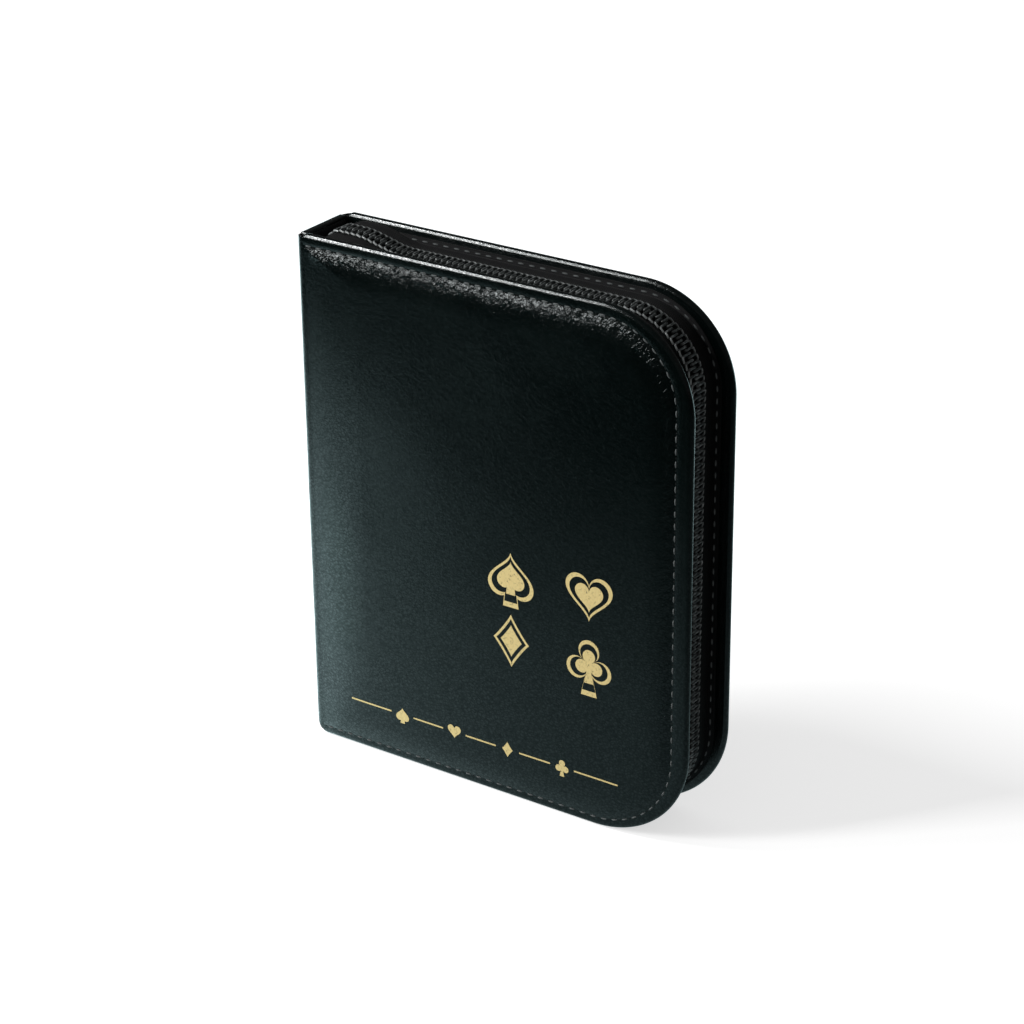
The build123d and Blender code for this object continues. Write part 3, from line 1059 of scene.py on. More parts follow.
@dataclass(frozen=True)
class FilletLine:
    """Line of straight runs joined by tangent arcs, in the plane of the covers."""

    corners: tuple[Pair, ...]
    radii: tuple[float, ...]

    def points(self, step: float = 0.4) -> np.ndarray:
        """Places along the line.

        Args:
            step: longest distance between two places on an arc.

        Returns:
            An array of (across, up) pairs.
        """
        run = [np.array(self.corners[0])]
        for before, corner, after, radius in zip(
            self.corners, self.corners[1:], self.corners[2:], self.radii
        ):
            corner = np.array(corner)
            come = corner - before
            go = after - corner
            come, go = come / np.linalg.norm(come), go / np.linalg.norm(go)
            turn = math.atan2(come[0] * go[1] - come[1] * go[0], come @ go)
            reach = radius * math.tan(abs(turn) / 2)
            start = corner - come * reach
            inwards = np.array([-come[1], come[0]]) * math.copysign(1, turn)
            centre = start + inwards * radius
            count = max(4, math.ceil(radius * abs(turn) / step))
            for share in np.linspace(0, 1, count + 1):
                angle = turn * share
                spoke = -inwards * radius
                cos, sin = math.cos(angle), math.sin(angle)
                run.append(centre + (spoke[0] * cos - spoke[1] * sin, spoke[0] * sin + spoke[1] * cos))
        run.append(np.array(self.corners[-1]))
        return np.array(run)

    @property
    def length(self) -> float:
        """Length of the whole line."""
        return float(np.linalg.norm(np.diff(self.points(0.1), axis=0), axis=1).sum())

    def at(self, distances: np.ndarray) -> tuple[np.ndarray, np.ndarray]:
        """Places and outward directions at distances along the line.

        Args:
            distances: distances from the line's start.

        Returns:
            Places and unit vectors to the left of the line, as (across, up) pairs.
        """
        run = self.points(0.1)
        steps = np.linalg.norm(np.diff(run, axis=0), axis=1)
        gone = np.concatenate([[0], np.cumsum(steps)])
        spots = np.stack([np.interp(distances, gone, run[:, axis]) for axis in (0, 1)], -1)
        ahead = np.stack([np.interp(distances + 0.05, gone, run[:, axis]) for axis in (0, 1)], -1)
        behind = np.stack([np.interp(distances - 0.05, gone, run[:, axis]) for axis in (0, 1)], -1)
        along = ahead - behind
        along /= np.linalg.norm(along, axis=1)[:, None]
        return spots, np.stack([-along[:, 1], along[:, 0]], -1)

    def curve(self, name: str) -> Piece:
        """The line as a flat curve that pieces are bent along."""
        data = bpy.data.curves.new(name, "CURVE")
        data.dimensions = "2D"
        run = self.points()
        spline = data.splines.new("POLY")
        spline.points.add(len(run) - 1)
        for point, (x, z) in zip(spline.points, run):
            point.co = (x * MM, z * MM, 0, 1)
        item = bpy.data.objects.new(name, data)
        bpy.context.collection.objects.link(item)
        return item

    def bend(self, item: Piece) -> Piece:
        """Bends a straight piece along the line.

        Args:
            item: piece drawn along X, with Y away from the case and Z towards the front.

        Returns:
            The bent piece, stood up in the plane of the covers.
        """
        guide = self.curve(item.name + "_line")
        finished(item, "CURVE", object=guide, deform_axis="POS_X")
        removed(guide)
        item.rotation_euler = (math.radians(90), 0, 0)
        return placed(item)


# Sub-assemblies


@dataclass(frozen=True)
class Case:
    """Sizes that the sub-assemblies share."""

    half_width: float = 57.5
    height: float = 140.0
    half_depth: float = 10.4
    inner_depth: float = 8.3
    lining_depth: float = 7.95
    spine_edge: float = -55.2
    spine_half_depth: float = 8.1
    zip_line: FilletLine = FilletLine(
        corners=(
            (-52.6, 134.8),
            (-52.6, 139.0),
            (-43.0, 138.9),
            (-32.5, 136.2),
            (52.3, 136.0),
            (52.3, 5.0),
            (-53.6, 5.0),
            (-53.6, 11.5),
        ),
        radii=(3.2, 20.0, 20.0, 19.0, 19.0, 3.2),
    )

    @property
    def outline(self) -> RoundedOutline:
        """Outline of a cover."""
        return RoundedOutline(
            left=self.spine_edge,
            right=self.half_width,
            bottom=0.0,
            top=self.height,
            radii=(1.7, 27.0, 25.0, 1.3),
            corner_steps=(6, 44, 42, 4),
            side_steps=(90, 96, 92, 134),
        )

    @property
    def room(self) -> RoundedOutline:
        """Outline of the room inside the zip tape."""
        return RoundedOutline(
            left=self.spine_edge + 0.6,
            right=51.85,
            bottom=5.45,
            top=135.55,
            radii=(2.0, 18.5, 18.5, 2.0),
            corner_steps=(2, 16, 16, 2),
            side_steps=(40, 44, 40, 58),
        )

    @property
    def seam(self) -> FilletLine:
        """Stitch line of a cover, from the top of the spine to its foot."""
        left, right = self.spine_edge + 0.5, self.half_width - 4.35
        top, bottom = self.height - 3.0, 2.35
        return FilletLine(
            corners=((left, top), (right, top), (right, bottom), (left, bottom)),
            radii=(20.7, 22.7),
        )

    @property
    def tape_reach(self) -> RoundedOutline:
        """Outline of the zip tape's legs, a little outside the stitch line."""
        return RoundedOutline(
            left=self.spine_edge,
            right=self.half_width - 3.3,
            bottom=1.4,
            top=self.height - 2.1,
            radii=(1.0, 23.7, 21.7, 1.0),
            corner_steps=(2, 4, 4, 2),
            side_steps=(4, 4, 4, 4),
        )


@dataclass
class PaddedCover:
    """One padded cover: skin, foam, lining and stitches."""

    case: Case
    side: Side
    skin_thickness: float = 0.38
    swell: float = 0.16
    pucker: float = 0.26
    groove: float = 0.12
    puff: float = 0.03
    gathered: Triple = (1.0, 0.40, 0.14)
    gather_row: Pair = (2.0, 1.1)
    puff_row: Pair = (1.25, 0.6)
    groove_width: float = 0.42
    stitch_pitch: float = 3.2
    stitch_length: float = 2.25
    thread: float = 0.46
    hole: Triple = (0.75, 0.62, 0.16)

    def place(self, flat: np.ndarray, depth: np.ndarray) -> np.ndarray:
        """Puts (across, up) pairs on a plane at a depth of this half."""
        y = np.broadcast_to(self.side.value * depth, flat.shape[:1])
        return np.stack([flat[:, 0], y, flat[:, 1]], -1)

    def rings(self) -> list[Ring]:
        """Rings from the hem inside, round the edge and over the padding."""
        out, hem = self.case.half_depth, self.case.inner_depth
        radius = (out - hem) / 2
        rings = [Ring(6.0, hem + 0.02, 3.0), Ring(3.0, hem, 1.5)]
        for angle in np.radians(np.linspace(-90, 90, 11)):
            inset = radius * (1 - math.cos(angle))
            rings.append(Ring(inset, hem + radius * (1 + math.sin(angle)), 0.0))
        profile = [
            (1.40, 0.01, 0.12, 1.30, 1.60),
            (1.90, 0.02, 0.25, 1.60, 2.40),
            (2.40, 0.02, 0.40, 1.90, 3.30),
            (2.75, 0.03, 0.55, 2.15, 3.95),
            (3.00, 0.04, 0.70, 2.35, 4.35),
            (3.25, 0.06, 0.90, 2.60, 4.65),
            (3.65, 0.11, 1.30, 2.95, 4.95),
            (4.20, 0.22, 2.00, 3.45, 5.35),
            (4.80, 0.38, 3.10, 4.05, 5.85),
            (5.50, 0.60, 4.60, 4.80, 6.50),
            (6.30, 0.80, 6.40, 5.70, 7.20),
            (7.20, 0.96, 8.40, 6.70, 8.10),
            (8.30, 1.08, 10.8, 7.90, 9.20),
            (9.60, 1.16, 13.6, 9.30, 10.4),
            (11.2, 1.20, 16.8, 11.0, 11.9),
        ]
        return rings + [
            Ring(inset, out + lift, left, bottom, right) for inset, lift, left, bottom, right in profile
        ]

    def relief(self, spots: np.ndarray) -> tuple[np.ndarray, np.ndarray]:
        """Unevenness of the outer face: the sunk seam, the swell of the foam and its creases.

        Args:
            spots: vertices in millimetres.

        Returns:
            How far each vertex is pushed out, and how gathered the leatherette is there.
        """
        outline = self.case.outline
        flat = spots[:, [0, 2]]
        inset = outline.inside(flat)
        outer = np.clip((np.abs(spots[:, 1]) - self.case.half_depth + 0.35) / 0.35, 0, 1)
        risen = np.clip((np.abs(spots[:, 1]) - self.case.half_depth - 0.05) / 1.1, 0, 1)
        seam, _ = self.case.seam.at(np.arange(0, self.case.seam.length, 0.4))
        near = np.flatnonzero((inset < 9) & (outer > 0))
        away = np.full(len(flat), 20.0)
        for chunk in np.array_split(near, 12):
            away[chunk] = np.linalg.norm(flat[chunk, None] - seam[None], axis=2).min(axis=1)
        from_top, from_right = outline.top - flat[:, 1], outline.right - flat[:, 0]
        top, right, rest = self.gathered
        edge = np.where(from_top < 12, top, np.where(from_right < 26, right, rest))
        within = inset > np.where(from_top < 12, 3.0, np.where(from_right < 12, 4.3, 2.4))
        gather = edge * hump(away, *self.gather_row) * within
        push = self.puff * hump(away, *self.puff_row) - self.groove * hump(away, 0.0, self.groove_width)
        seed = 37.0 * self.side.value
        for index in np.flatnonzero(risen):
            x, z = flat[index]
            calm = noise.noise(Vector((x * 0.035, z * 0.035, seed)))
            lump = noise.noise(Vector((x * 0.20, z * 0.13, seed + 9)))
            along, across = 0.6 * x + 0.8 * z, 0.8 * x - 0.6 * z
            pull = noise.noise(Vector((across * 0.85, along * 0.22, seed + 21)))
            push[index] += risen[index] * self.swell * (calm - 0.35)
            push[index] += gather[index] * self.pucker * (0.5 * lump + 1.0 * pull)
        return push * outer, gather * outer

    def build_skin(self, wardrobe: Wardrobe) -> Piece:
        """The leatherette with its hem, raised over the foam."""
        name = f"{self.side.word}_cover_leatherette"
        item = self.case.outline.skin(name, self.rings(), self.place)
        spots = vertices(item)
        push, gather = self.relief(spots)
        spots[:, 1] += self.side.value * push
        set_vertices(item, spots)
        set_number(item, "gather", gather)
        finished(item, "SOLIDIFY", thickness=self.skin_thickness * MM, offset=-1.0)
        smooth(item, 60)
        handed_in(item, self.side.body, wardrobe.leatherette, [f"{self.side.word}_skin"])
        return item

    def build_foam(self, wardrobe: Wardrobe) -> Piece:
        """The foam sheet between the board and the leatherette."""
        outer = self.case.half_depth - 0.7
        rings = [
            Ring(7.5, outer + 0.02, 4.0),
            Ring(4.75, outer + 0.02, 1.75),
            Ring(4.75, outer + 0.10, 1.75),
            Ring(6.3, outer + 0.62, 5.0),
            Ring(7.6, outer + 0.86, 8.0),
            Ring(9.4, outer + 1.02, 12.0),
            Ring(12.0, outer + 1.05, 17.0),
        ]
        coarse = replace(
            self.case.outline, corner_steps=(2, 12, 12, 2), side_steps=(20, 22, 20, 32)
        )
        item = coarse.skin(f"{self.side.word}_cover_foam", rings, self.place)
        close_ends(item)
        smooth(item, 50)
        handed_in(item, self.side.body, wardrobe.foam, [f"{self.side.word}_padding"])
        return item

    def build_lining(self, wardrobe: Wardrobe) -> Piece:
        """The lining sheet, turned in at the zip tape and sunk where the hem ends below it."""
        top, low = self.case.lining_depth + 0.02, self.case.inner_depth - 0.02
        rings = [
            Ring(0.45, low),
            Ring(0.12, low - 0.02),
            Ring(0.05, low - 0.12),
            Ring(0.12, top + 0.04),
            Ring(0.35, top),
            Ring(0.90, top, 0.9),
            Ring(1.40, top + 0.02, 1.7),
            Ring(1.80, top + 0.16, 2.3),
            Ring(2.30, top + 0.22, 2.9),
        ]
        item = self.case.room.skin(f"{self.side.word}_lining_cloth", rings, self.place, -1)
        spots = vertices(item)
        deep = np.abs(spots[:, 1]) > top + 0.2
        wave = [noise.noise(Vector((x * 0.05, z * 0.05, 3.0 * self.side.value))) for x, _, z in spots]
        spots[:, 1] += self.side.value * 0.05 * np.array(wave) * deep
        set_vertices(item, spots)
        finished(item, "SOLIDIFY", thickness=0.16 * MM, offset=-1.0)
        smooth(item, 50)
        handed_in(item, self.side.body, wardrobe.lining, [f"{self.side.word}_lining"])
        room = self.case.room
        size = ((room.right - room.left + 2.4) * MM, (room.top - room.bottom + 2.4) * MM)
        return item

    def build_stitches(self, wardrobe: Wardrobe) -> Piece:
        """Lock stitches along the border, outside and on the zip tape inside, with their holes."""
        rows = []
        seam = self.case.seam
        count = round(seam.length / self.stitch_pitch)
        pitch = (seam.length - 0.6) / count
        for depth, out in ((self.case.half_depth - 0.02, 1), (self.case.lining_depth - 0.02, -1)):
            stitch = self.bead("stitch", (self.stitch_length, self.thread, self.thread), 8, 6)
            with editing(stitch), sculpting(stitch) as mesh:
                for vertex in mesh.verts:
                    share = abs(vertex.co.x) / (self.stitch_length / 2 * MM)
                    vertex.co.z += 0.30 * MM * share**2 * self.side.value * out
                    vertex.co.x += (self.stitch_length / 2 + 0.2) * MM
            hole = self.bead("hole", self.hole, 8, 4)
            with editing(hole), sculpting(hole) as mesh:
                for vertex in mesh.verts:
                    vertex.co.x += (pitch + self.stitch_length + 0.4) / 2 * MM
                    vertex.co.z += 0.10 * MM * self.side.value * out
            for piece, mark in ((stitch, 0.0), (hole, 1.0)):
                set_number(piece, "hole", np.full(len(piece.data.vertices), mark))
            item = joined("stitch", stitch, hole)
            repeated(item, count, (pitch, 0, 0))
            seam.bend(item)
            spots = vertices(item)
            spots[:, 1] += self.side.value * depth
            set_vertices(item, spots)
            rows.append(item)
        item = joined(f"{self.side.word}_cover_stitches", *rows)
        smooth(item)
        return handed_in(item, self.side.body, wardrobe.thread)

    def bead(self, name: str, size: Triple, segments: int, rings: int) -> Piece:
        """A ball drawn out along X, for stitches and their holes.

        Args:
            name: name of the piece.
            size: its length, width and height in millimetres.
            segments: faces round it.
            rings: faces along it.

        Returns:
            The piece.
        """
        item = added(
            name,
            bpy.ops.mesh.primitive_uv_sphere_add,
            segments=segments,
            ring_count=rings,
            radius=0.5 * MM,
            rotation=(0, math.radians(90), 0),
        )
        placed(item)
        item.scale = size
        return placed(item)

    def build(self, wardrobe: Wardrobe) -> Piece:
        """Builds the whole cover and gives its skin."""
        skin = self.build_skin(wardrobe)
        self.build_foam(wardrobe)
        self.build_lining(wardrobe)
        self.build_stitches(wardrobe)
        return skin


@dataclass
class ZipHalf:
    """One half of the zip: its tape, with the leg that is sewn under the border, and its coil."""

    case: Case
    side: Side
    phase: float
    tape_thickness: float = 0.34
    tape_edge: float = 0.7
    bulge: float = 0.25
    leg_start: float = -48.5
    pitch: float = 1.7
    first: float = 0.9
    wire: float = 0.27
    low: float = 0.28
    high: float = 0.73
    outer: float = 2.72
    head: float = -0.42
    coil_end: float = -38.1
    bottom_run_end: float = 33.3
    tuck_radius: float = 3.2
    tuck_length: float = 6.5
    zip_end: float = -53.6

    @property
    def coil_length(self) -> float:
        """Distance along the zip at which the coil ends behind the parked slider."""
        tuck = self.tuck_length - self.tuck_radius + math.pi / 2 * self.tuck_radius
        return self.case.zip_line.length - tuck - (self.coil_end - self.zip_end - self.tuck_radius)

    @property
    def start(self) -> float:
        """Distance of the first tooth."""
        return self.first + self.phase * self.pitch

    @property
    def split(self) -> int:
        """Number of teeth before the bottom run."""
        upper = self.coil_length - (self.bottom_run_end - self.coil_end)
        return math.ceil((upper - self.start) / self.pitch) + 1

    @property
    def count(self) -> int:
        """Number of all teeth."""
        return math.floor((self.coil_length - 0.425 - self.start) / self.pitch) + 1

    def build_tape(self, wardrobe: Wardrobe) -> Piece:
        """The tape: a wall that stands on the cover and a leg that turns under the border."""
        line = self.case.zip_line
        length = line.length
        steps, rows = int(length / 1.2), 10
        width = self.case.inner_depth - self.tape_edge
        wall = added(
            f"{self.side.word}_tape_wall",
            bpy.ops.mesh.primitive_grid_add,
            x_subdivisions=steps,
            y_subdivisions=rows,
            size=1.0,
        )
        spots = vertices(wall)
        along = (spots[:, 0] * MM + 0.5) * length
        across = (spots[:, 1] * MM + 0.5) * width + self.tape_edge
        share = (across - self.tape_edge) / width
        bow = self.bulge * np.sin(np.pi * share) * np.clip((across - 3.2) / 1.0, 0, 1)
        ripple = 0.08 * np.sin(along / 5.3 + self.phase * 3) * np.sin(np.pi * share)
        set_vertices(wall, np.stack([along, bow + ripple * (across > 3.3), -self.side.value * across], -1))
        self.measure_uv(wall, along, across)
        finished(wall, "SOLIDIFY", thickness=self.tape_thickness * MM, offset=0.0)
        spots = vertices(wall)
        spots[:, 1] -= self.tape_thickness / 2 + 0.02
        set_vertices(wall, spots)
        tidy_normals(wall)
        line.bend(wall)
        leg = self.build_leg()
        item = joined(f"{self.side.word}_woven_tape", wall, leg)
        smooth(item, 50)
        handed_in(item, self.side.body, wardrobe.tape, [f"{self.side.word}_zip_tape"])
        return item

    def measure_uv(self, item: Piece, along: np.ndarray, across: np.ndarray) -> None:
        """Sets the UV map to millimetres along and across the tape.

        Args:
            item: the piece.
            along: distance along the tape of each vertex.
            across: distance across the tape of each vertex.
        """
        layer = item.data.uv_layers.active
        corners = np.array([loop.vertex_index for loop in item.data.loops])
        layer.data.foreach_set("uv", np.stack([along[corners], across[corners]], -1).ravel())
        layer.name = "UVMap"

    def build_leg(self) -> Piece:
        """The tape's leg: a flat strip from the wall out to the seam."""
        line, outline = self.case.zip_line, self.case.tape_reach
        run = np.arange(0, line.length, 1.2)
        spots, out = line.at(run)
        held = np.flatnonzero(spots[:, 0] > self.leg_start)
        held = held[held > np.flatnonzero(run > self.tuck_length + self.tuck_radius)[0]]
        run, spots, out = run[held], spots[held], out[held]
        reach = np.zeros(len(run))
        for _ in range(12):
            reach += outline.inside(spots + out * reach[:, None])
        rows = 4
        item = added(
            f"{self.side.word}_tape_leg",
            bpy.ops.mesh.primitive_grid_add,
            x_subdivisions=len(run) - 1,
            y_subdivisions=rows,
            size=1.0,
        )
        grid = vertices(item) * MM + 0.5
        index = np.rint(grid[:, 0] * (len(run) - 1)).astype(int)
        share = grid[:, 1]
        flat = spots[index] + out[index] * (reach[index] * share)[:, None]
        depth = self.case.lining_depth + 0.17
        set_vertices(
            item,
            np.stack([flat[:, 0], np.full(len(flat), self.side.value * depth), flat[:, 1]], -1),
        )
        width = self.case.inner_depth
        self.measure_uv(item, run[index], width + share * reach[index])
        finished(item, "SOLIDIFY", thickness=self.tape_thickness * MM, offset=0.0)
        tidy_normals(item)
        return item

    def loop_points(self) -> list[tuple[float, float, float, float]]:
        """One loop of the coil.

        Returns:
            (along, out, across, thickness factor) of the points that the thread follows.
        """
        near, far = self.outer, self.head
        mid = (self.low + self.high) / 2
        return [
            (-0.34, mid - 0.12, near + 0.03, 0.95),
            (-0.14, self.low, near - 0.30, 0.95),
            (0.0, self.low, near - 0.9, 0.95),
            (0.0, self.low, 0.25, 1.0),
            (0.0, self.low + 0.01, far + 0.10, 1.25),
            (0.0, mid, far - 0.02, 1.38),
            (0.0, self.high - 0.01, far + 0.10, 1.25),
            (0.0, self.high, 0.25, 1.0),
            (0.0, self.high, near - 0.9, 0.95),
            (0.10, self.high, near - 0.28, 0.95),
            (0.34, self.high - 0.08, near, 0.95),
            (0.85, mid + 0.06, near + 0.06, 0.92),
            (self.pitch - 0.30, mid - 0.1, near + 0.04, 0.95),
        ]

    def build_coil(self, name: str, node: str, lowest: int, highest: int, wardrobe: Wardrobe) -> Piece:
        """A run of the coil, from one tooth to another.

        Args:
            name: name of the piece.
            node: CAD node that it stands for.
            lowest: number of its first tooth.
            highest: number of the tooth past its last.
            wardrobe: the finishes.

        Returns:
            The coil.
        """
        data = bpy.data.curves.new(name + "_thread", "CURVE")
        data.dimensions = "3D"
        data.bevel_depth = self.wire * MM
        data.bevel_resolution = 1
        data.use_fill_caps = True
        points = self.loop_points()
        spline = data.splines.new("POLY")
        spline.points.add(len(points) - 1)
        first = self.start + lowest * self.pitch
        for point, (along, out, across, factor) in zip(spline.points, points):
            point.co = ((first + along) * MM, out * MM, -self.side.value * across * MM, 1)
            point.radius = factor
        item = bpy.data.objects.new(name, data)
        bpy.context.collection.objects.link(item)
        select_only(item)
        bpy.ops.object.convert(target="MESH")
        item = bpy.context.view_layer.objects.active
        tidy_normals(item)
        repeated(item, highest - lowest, (self.pitch, 0, 0))
        # Marks the outer bends of the loops, where the coil's material paints a highlight.
        worn = np.clip((np.abs(vertices(item)[:, 2]) - self.outer + 0.14) / 0.16, 0, 1)
        self.case.zip_line.bend(item)
        set_number(item, "worn", worn)
        smooth(item, 60)
        return handed_in(item, self.side.body, wardrobe.coil, [node])

    def build(self, wardrobe: Wardrobe) -> None:
        """Builds the tape and both runs of the coil."""
        word = self.side.word
        self.build_tape(wardrobe)
        self.build_coil(f"{word}_coil_thread", f"{word}_zip_coil", 0, self.split, wardrobe)
        self.build_coil(
            f"{word}_coil_thread_bottom", f"{word}_zip_coil_bottom", self.split, self.count, wardrobe
        )


@dataclass
class SpineStrip:
    """The stiff spine and the two strips that fold at the long corners."""

    case: Case
    foot: float = 2.6
    head: float = 139.4
    thickness: float = 2.1
    foot_radius: float = 5.2
    foot_side: float = 5.0
    fold_head: float = 139.3
    fold_radius: float = 2.3
    leather: float = 0.55
    cloth: float = 0.25

    def place(self, flat: np.ndarray, depth: np.ndarray) -> np.ndarray:
        """Puts (across, up) pairs on a plane at a depth outside the spine's inner face."""
        x = np.broadcast_to(-self.case.half_width + self.thickness - depth, flat.shape[:1])
        return np.stack([x, flat[:, 0], flat[:, 1]], -1)

    def build_skin(self, wardrobe: Wardrobe) -> Piece:
        """The spine's leatherette, hemmed round its board."""
        half = self.case.spine_half_depth
        outline = RoundedOutline(
            left=-half,
            right=half,
            bottom=self.foot,
            top=self.head,
            radii=(2.6, 2.6, 0.5, 0.5),
            corner_steps=(6, 6, 4, 4),
            side_steps=(14, 136, 16, 136),
        )
        out = self.thickness
        rings = [
            Ring(2.4, 0.02),
            Ring(1.2, 0.0),
            Ring(0.4, 0.01, 0.0, 0.4, 0.0),
            Ring(0.1, 0.12, 0.0, 0.1, 0.0),
            Ring(0.0, 0.5),
            Ring(0.0, out - 0.5),
            Ring(0.12, out - 0.15, 0.0, 0.12, 0.0),
            Ring(0.45, out, 0.05, 0.45, 0.05),
            Ring(1.0, out + 0.0),
            Ring(2.0, out - 0.01),
        ]
        item = outline.skin("spine_leatherette", rings, self.place)
        set_number(item, "gather", np.full(len(item.data.vertices), 0.12))
        finished(item, "SOLIDIFY", thickness=0.38 * MM, offset=-1.0)
        smooth(item, 60)
        return handed_in(item, "spine", wardrobe.leatherette, ["spine_skin"])

    def build_board(self, wardrobe: Wardrobe) -> Piece:
        """The spine's board, its lower corners cut round as the leatherette over them is."""
        half = self.case.spine_half_depth - 0.75
        outline = RoundedOutline(
            left=-half,
            right=half,
            bottom=self.foot + 0.8,
            top=self.head - 0.75,
            radii=(2.2, 2.2, 0.3, 0.3),
            corner_steps=(4, 4, 2, 2),
            side_steps=(8, 68, 10, 68),
        )
        profile = ((0.6, 0.4), (0.06, 0.4), (0.0, 0.46), (0.0, 1.34), (0.06, 1.4), (0.6, 1.4))
        rings = [Ring(inset, depth) for inset, depth in profile]
        item = outline.skin("spine_greyboard", rings, self.place)
        close_ends(item)
        smooth(item, 30)
        return handed_in(item, "spine", wardrobe.board, ["spine_board"])

    def build_lining(self, wardrobe: Wardrobe) -> Piece:
        """The strip of lining glued over the spine's hem."""
        half = self.case.spine_half_depth - 0.7
        outline = RoundedOutline(
            left=-half,
            right=half,
            bottom=self.foot + 0.9,
            top=self.head - 0.7,
            radii=(0.6, 0.6, 0.6, 0.6),
            corner_steps=(2, 2, 2, 2),
            side_steps=(8, 68, 8, 68),
        )
        rings = [
            Ring(0.30, -0.02),
            Ring(0.05, -0.05),
            Ring(0.02, -0.18),
            Ring(0.12, -0.31),
            Ring(0.40, -0.33),
            Ring(1.60, -0.32),
            Ring(2.10, -0.12),
            Ring(2.60, -0.06),
        ]
        item = outline.skin("spine_lining_cloth", rings, self.place, -1)
        finished(item, "SOLIDIFY", thickness=0.14 * MM, offset=-1.0)
        smooth(item, 50)
        handed_in(item, "spine", wardrobe.lining, ["spine_lining"])
        size = (2 * half * MM, (outline.top - outline.bottom) * MM)
        return item

    def foot_at(self, angle: np.ndarray) -> np.ndarray:
        """Height of a fold's lower end: the corner that the leatherette is pulled round.

        Args:
            angle: angle round the fold in radians, from the spine to the cover.

        Returns:
            The heights in millimetres.
        """
        x = self.case.spine_edge - self.fold_radius * np.cos(angle)
        centre = self.foot_radius - self.case.half_width + 0.35
        reach = np.clip(centre - x, 0, self.foot_radius)
        return np.minimum(self.foot_radius - np.sqrt(self.foot_radius**2 - reach**2), self.foot_side)

    def build_fold(self, side: Side, wardrobe: Wardrobe, cloth: bool) -> Piece:
        """One layer of a quarter-round strip at a long corner of the spine.

        Args:
            side: the half that the strip leads to.
            wardrobe: the finishes.
            cloth: True for the lining inside, False for the leatherette outside.

        Returns:
            The layer.
        """
        outer = self.fold_radius - (self.leather + 0.05 if cloth else 0.0)
        thickness = self.cloth if cloth else self.leather
        rows = 6 if cloth else 12
        word = "lining" if cloth else "leatherette"
        item = added(
            f"{side.word}_fold_{word}",
            bpy.ops.mesh.primitive_grid_add,
            x_subdivisions=rows,
            y_subdivisions=70 if cloth else 136,
            size=1.0,
        )
        grid = vertices(item) * MM + 0.5
        angle = np.radians(90 * grid[:, 0])
        foot = self.foot_at(angle)
        head = self.fold_head - 0.35 * np.cos(angle) - (0.3 if cloth else 0.0)
        height = head - foot
        crinkle = np.array(
            [noise.noise(Vector((u * 3, v * 30.0, 5.0 * side.value))) for u, v in grid[:, :2]]
        )
        radius = outer + 0.05 * crinkle * np.sin(np.pi * grid[:, 0])
        places = np.stack(
            [
                self.case.spine_edge - radius * np.cos(angle),
                side.value * (self.case.spine_half_depth + radius * np.sin(angle)),
                foot + grid[:, 1] * height,
            ],
            -1,
        )
        set_vertices(item, places)
        set_number(item, "gather", np.full(len(places), 0.05))
        face_towards(item, (-0.0575, side.value * 0.0104, 0.07), (-1, side.value, 0))
        finished(item, "SOLIDIFY", thickness=thickness * MM, offset=-1.0)
        smooth(item, 60)
        dressed(item, wardrobe.lining if cloth else wardrobe.leatherette)
        edge, case = self.case.spine_edge * MM, self.case
        side.value * case.spine_half_depth * MM
        side.value * case.half_depth * MM
        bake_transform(item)
        if not cloth:
            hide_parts(f"{side.word}_fold_strip")
        return item

    def build(self, wardrobe: Wardrobe) -> None:
        """Builds the spine and its folds."""
        self.build_skin(wardrobe)
        self.build_board(wardrobe)
        self.build_lining(wardrobe)
        for side in Side:
            for cloth in (False, True):
                self.build_fold(side, wardrobe, cloth)


@dataclass
class CardDeck:
    """A deck of cards in its well, each card a shell of its own in one piece."""

    name: str
    node: str
    ink: Triple
    centre: Pair
    half_size: Pair = (45.5, 29.5)
    corner: float = 3.5
    cards: int = 55
    pitch: float = 0.27
    thickness: float = 0.25
    face: float = -7.4
    untidy: float = 0.10
    slack: float = 0.22
    twist: float = 0.0012

    def build(self) -> Piece:
        """Builds the stack and gives it."""
        (x, z), (wide, high) = self.centre, self.half_size
        radii = (self.corner,) * 4
        outline = RoundedOutline(x - wide, x + wide, z - high, z + high, radii, (6,) * 4, (1,) * 4)
        ring = outline.ring((0, 0, 0, 0))
        item = added(
            self.name, bpy.ops.mesh.primitive_circle_add, vertices=len(ring), radius=0.01, fill_type="NGON"
        )
        with editing(item):
            with sculpting(item) as mesh:
                for vertex, (across, up) in zip(mesh.verts, ring):
                    vertex.co = (across * MM, self.face * MM, up * MM)
            bpy.ops.mesh.extrude_region_move(TRANSFORM_OT_translate={"value": (0, self.thickness * MM, 0)})
        tidy_normals(item)
        each = len(item.data.vertices)
        repeated(item, self.cards, (0, self.pitch, 0))
        spots = vertices(item)
        rng = np.random.default_rng(7)
        number = np.arange(len(spots)) // each
        shift = rng.normal(0, self.untidy, (self.cards, 2)).clip(-self.slack, self.slack)
        turn = rng.normal(0, self.twist, self.cards)[number]
        across, up = spots[:, 0] - x, spots[:, 2] - z
        spots[:, 0] += shift[number, 0] - turn * up
        spots[:, 2] += shift[number, 1] + turn * across
        set_vertices(item, spots)
        smooth(item, 30)
        finish = CardStock(f"{self.name}_card", self.ink, self.centre).build()
        return handed_in(item, "back_half", finish, [self.node])


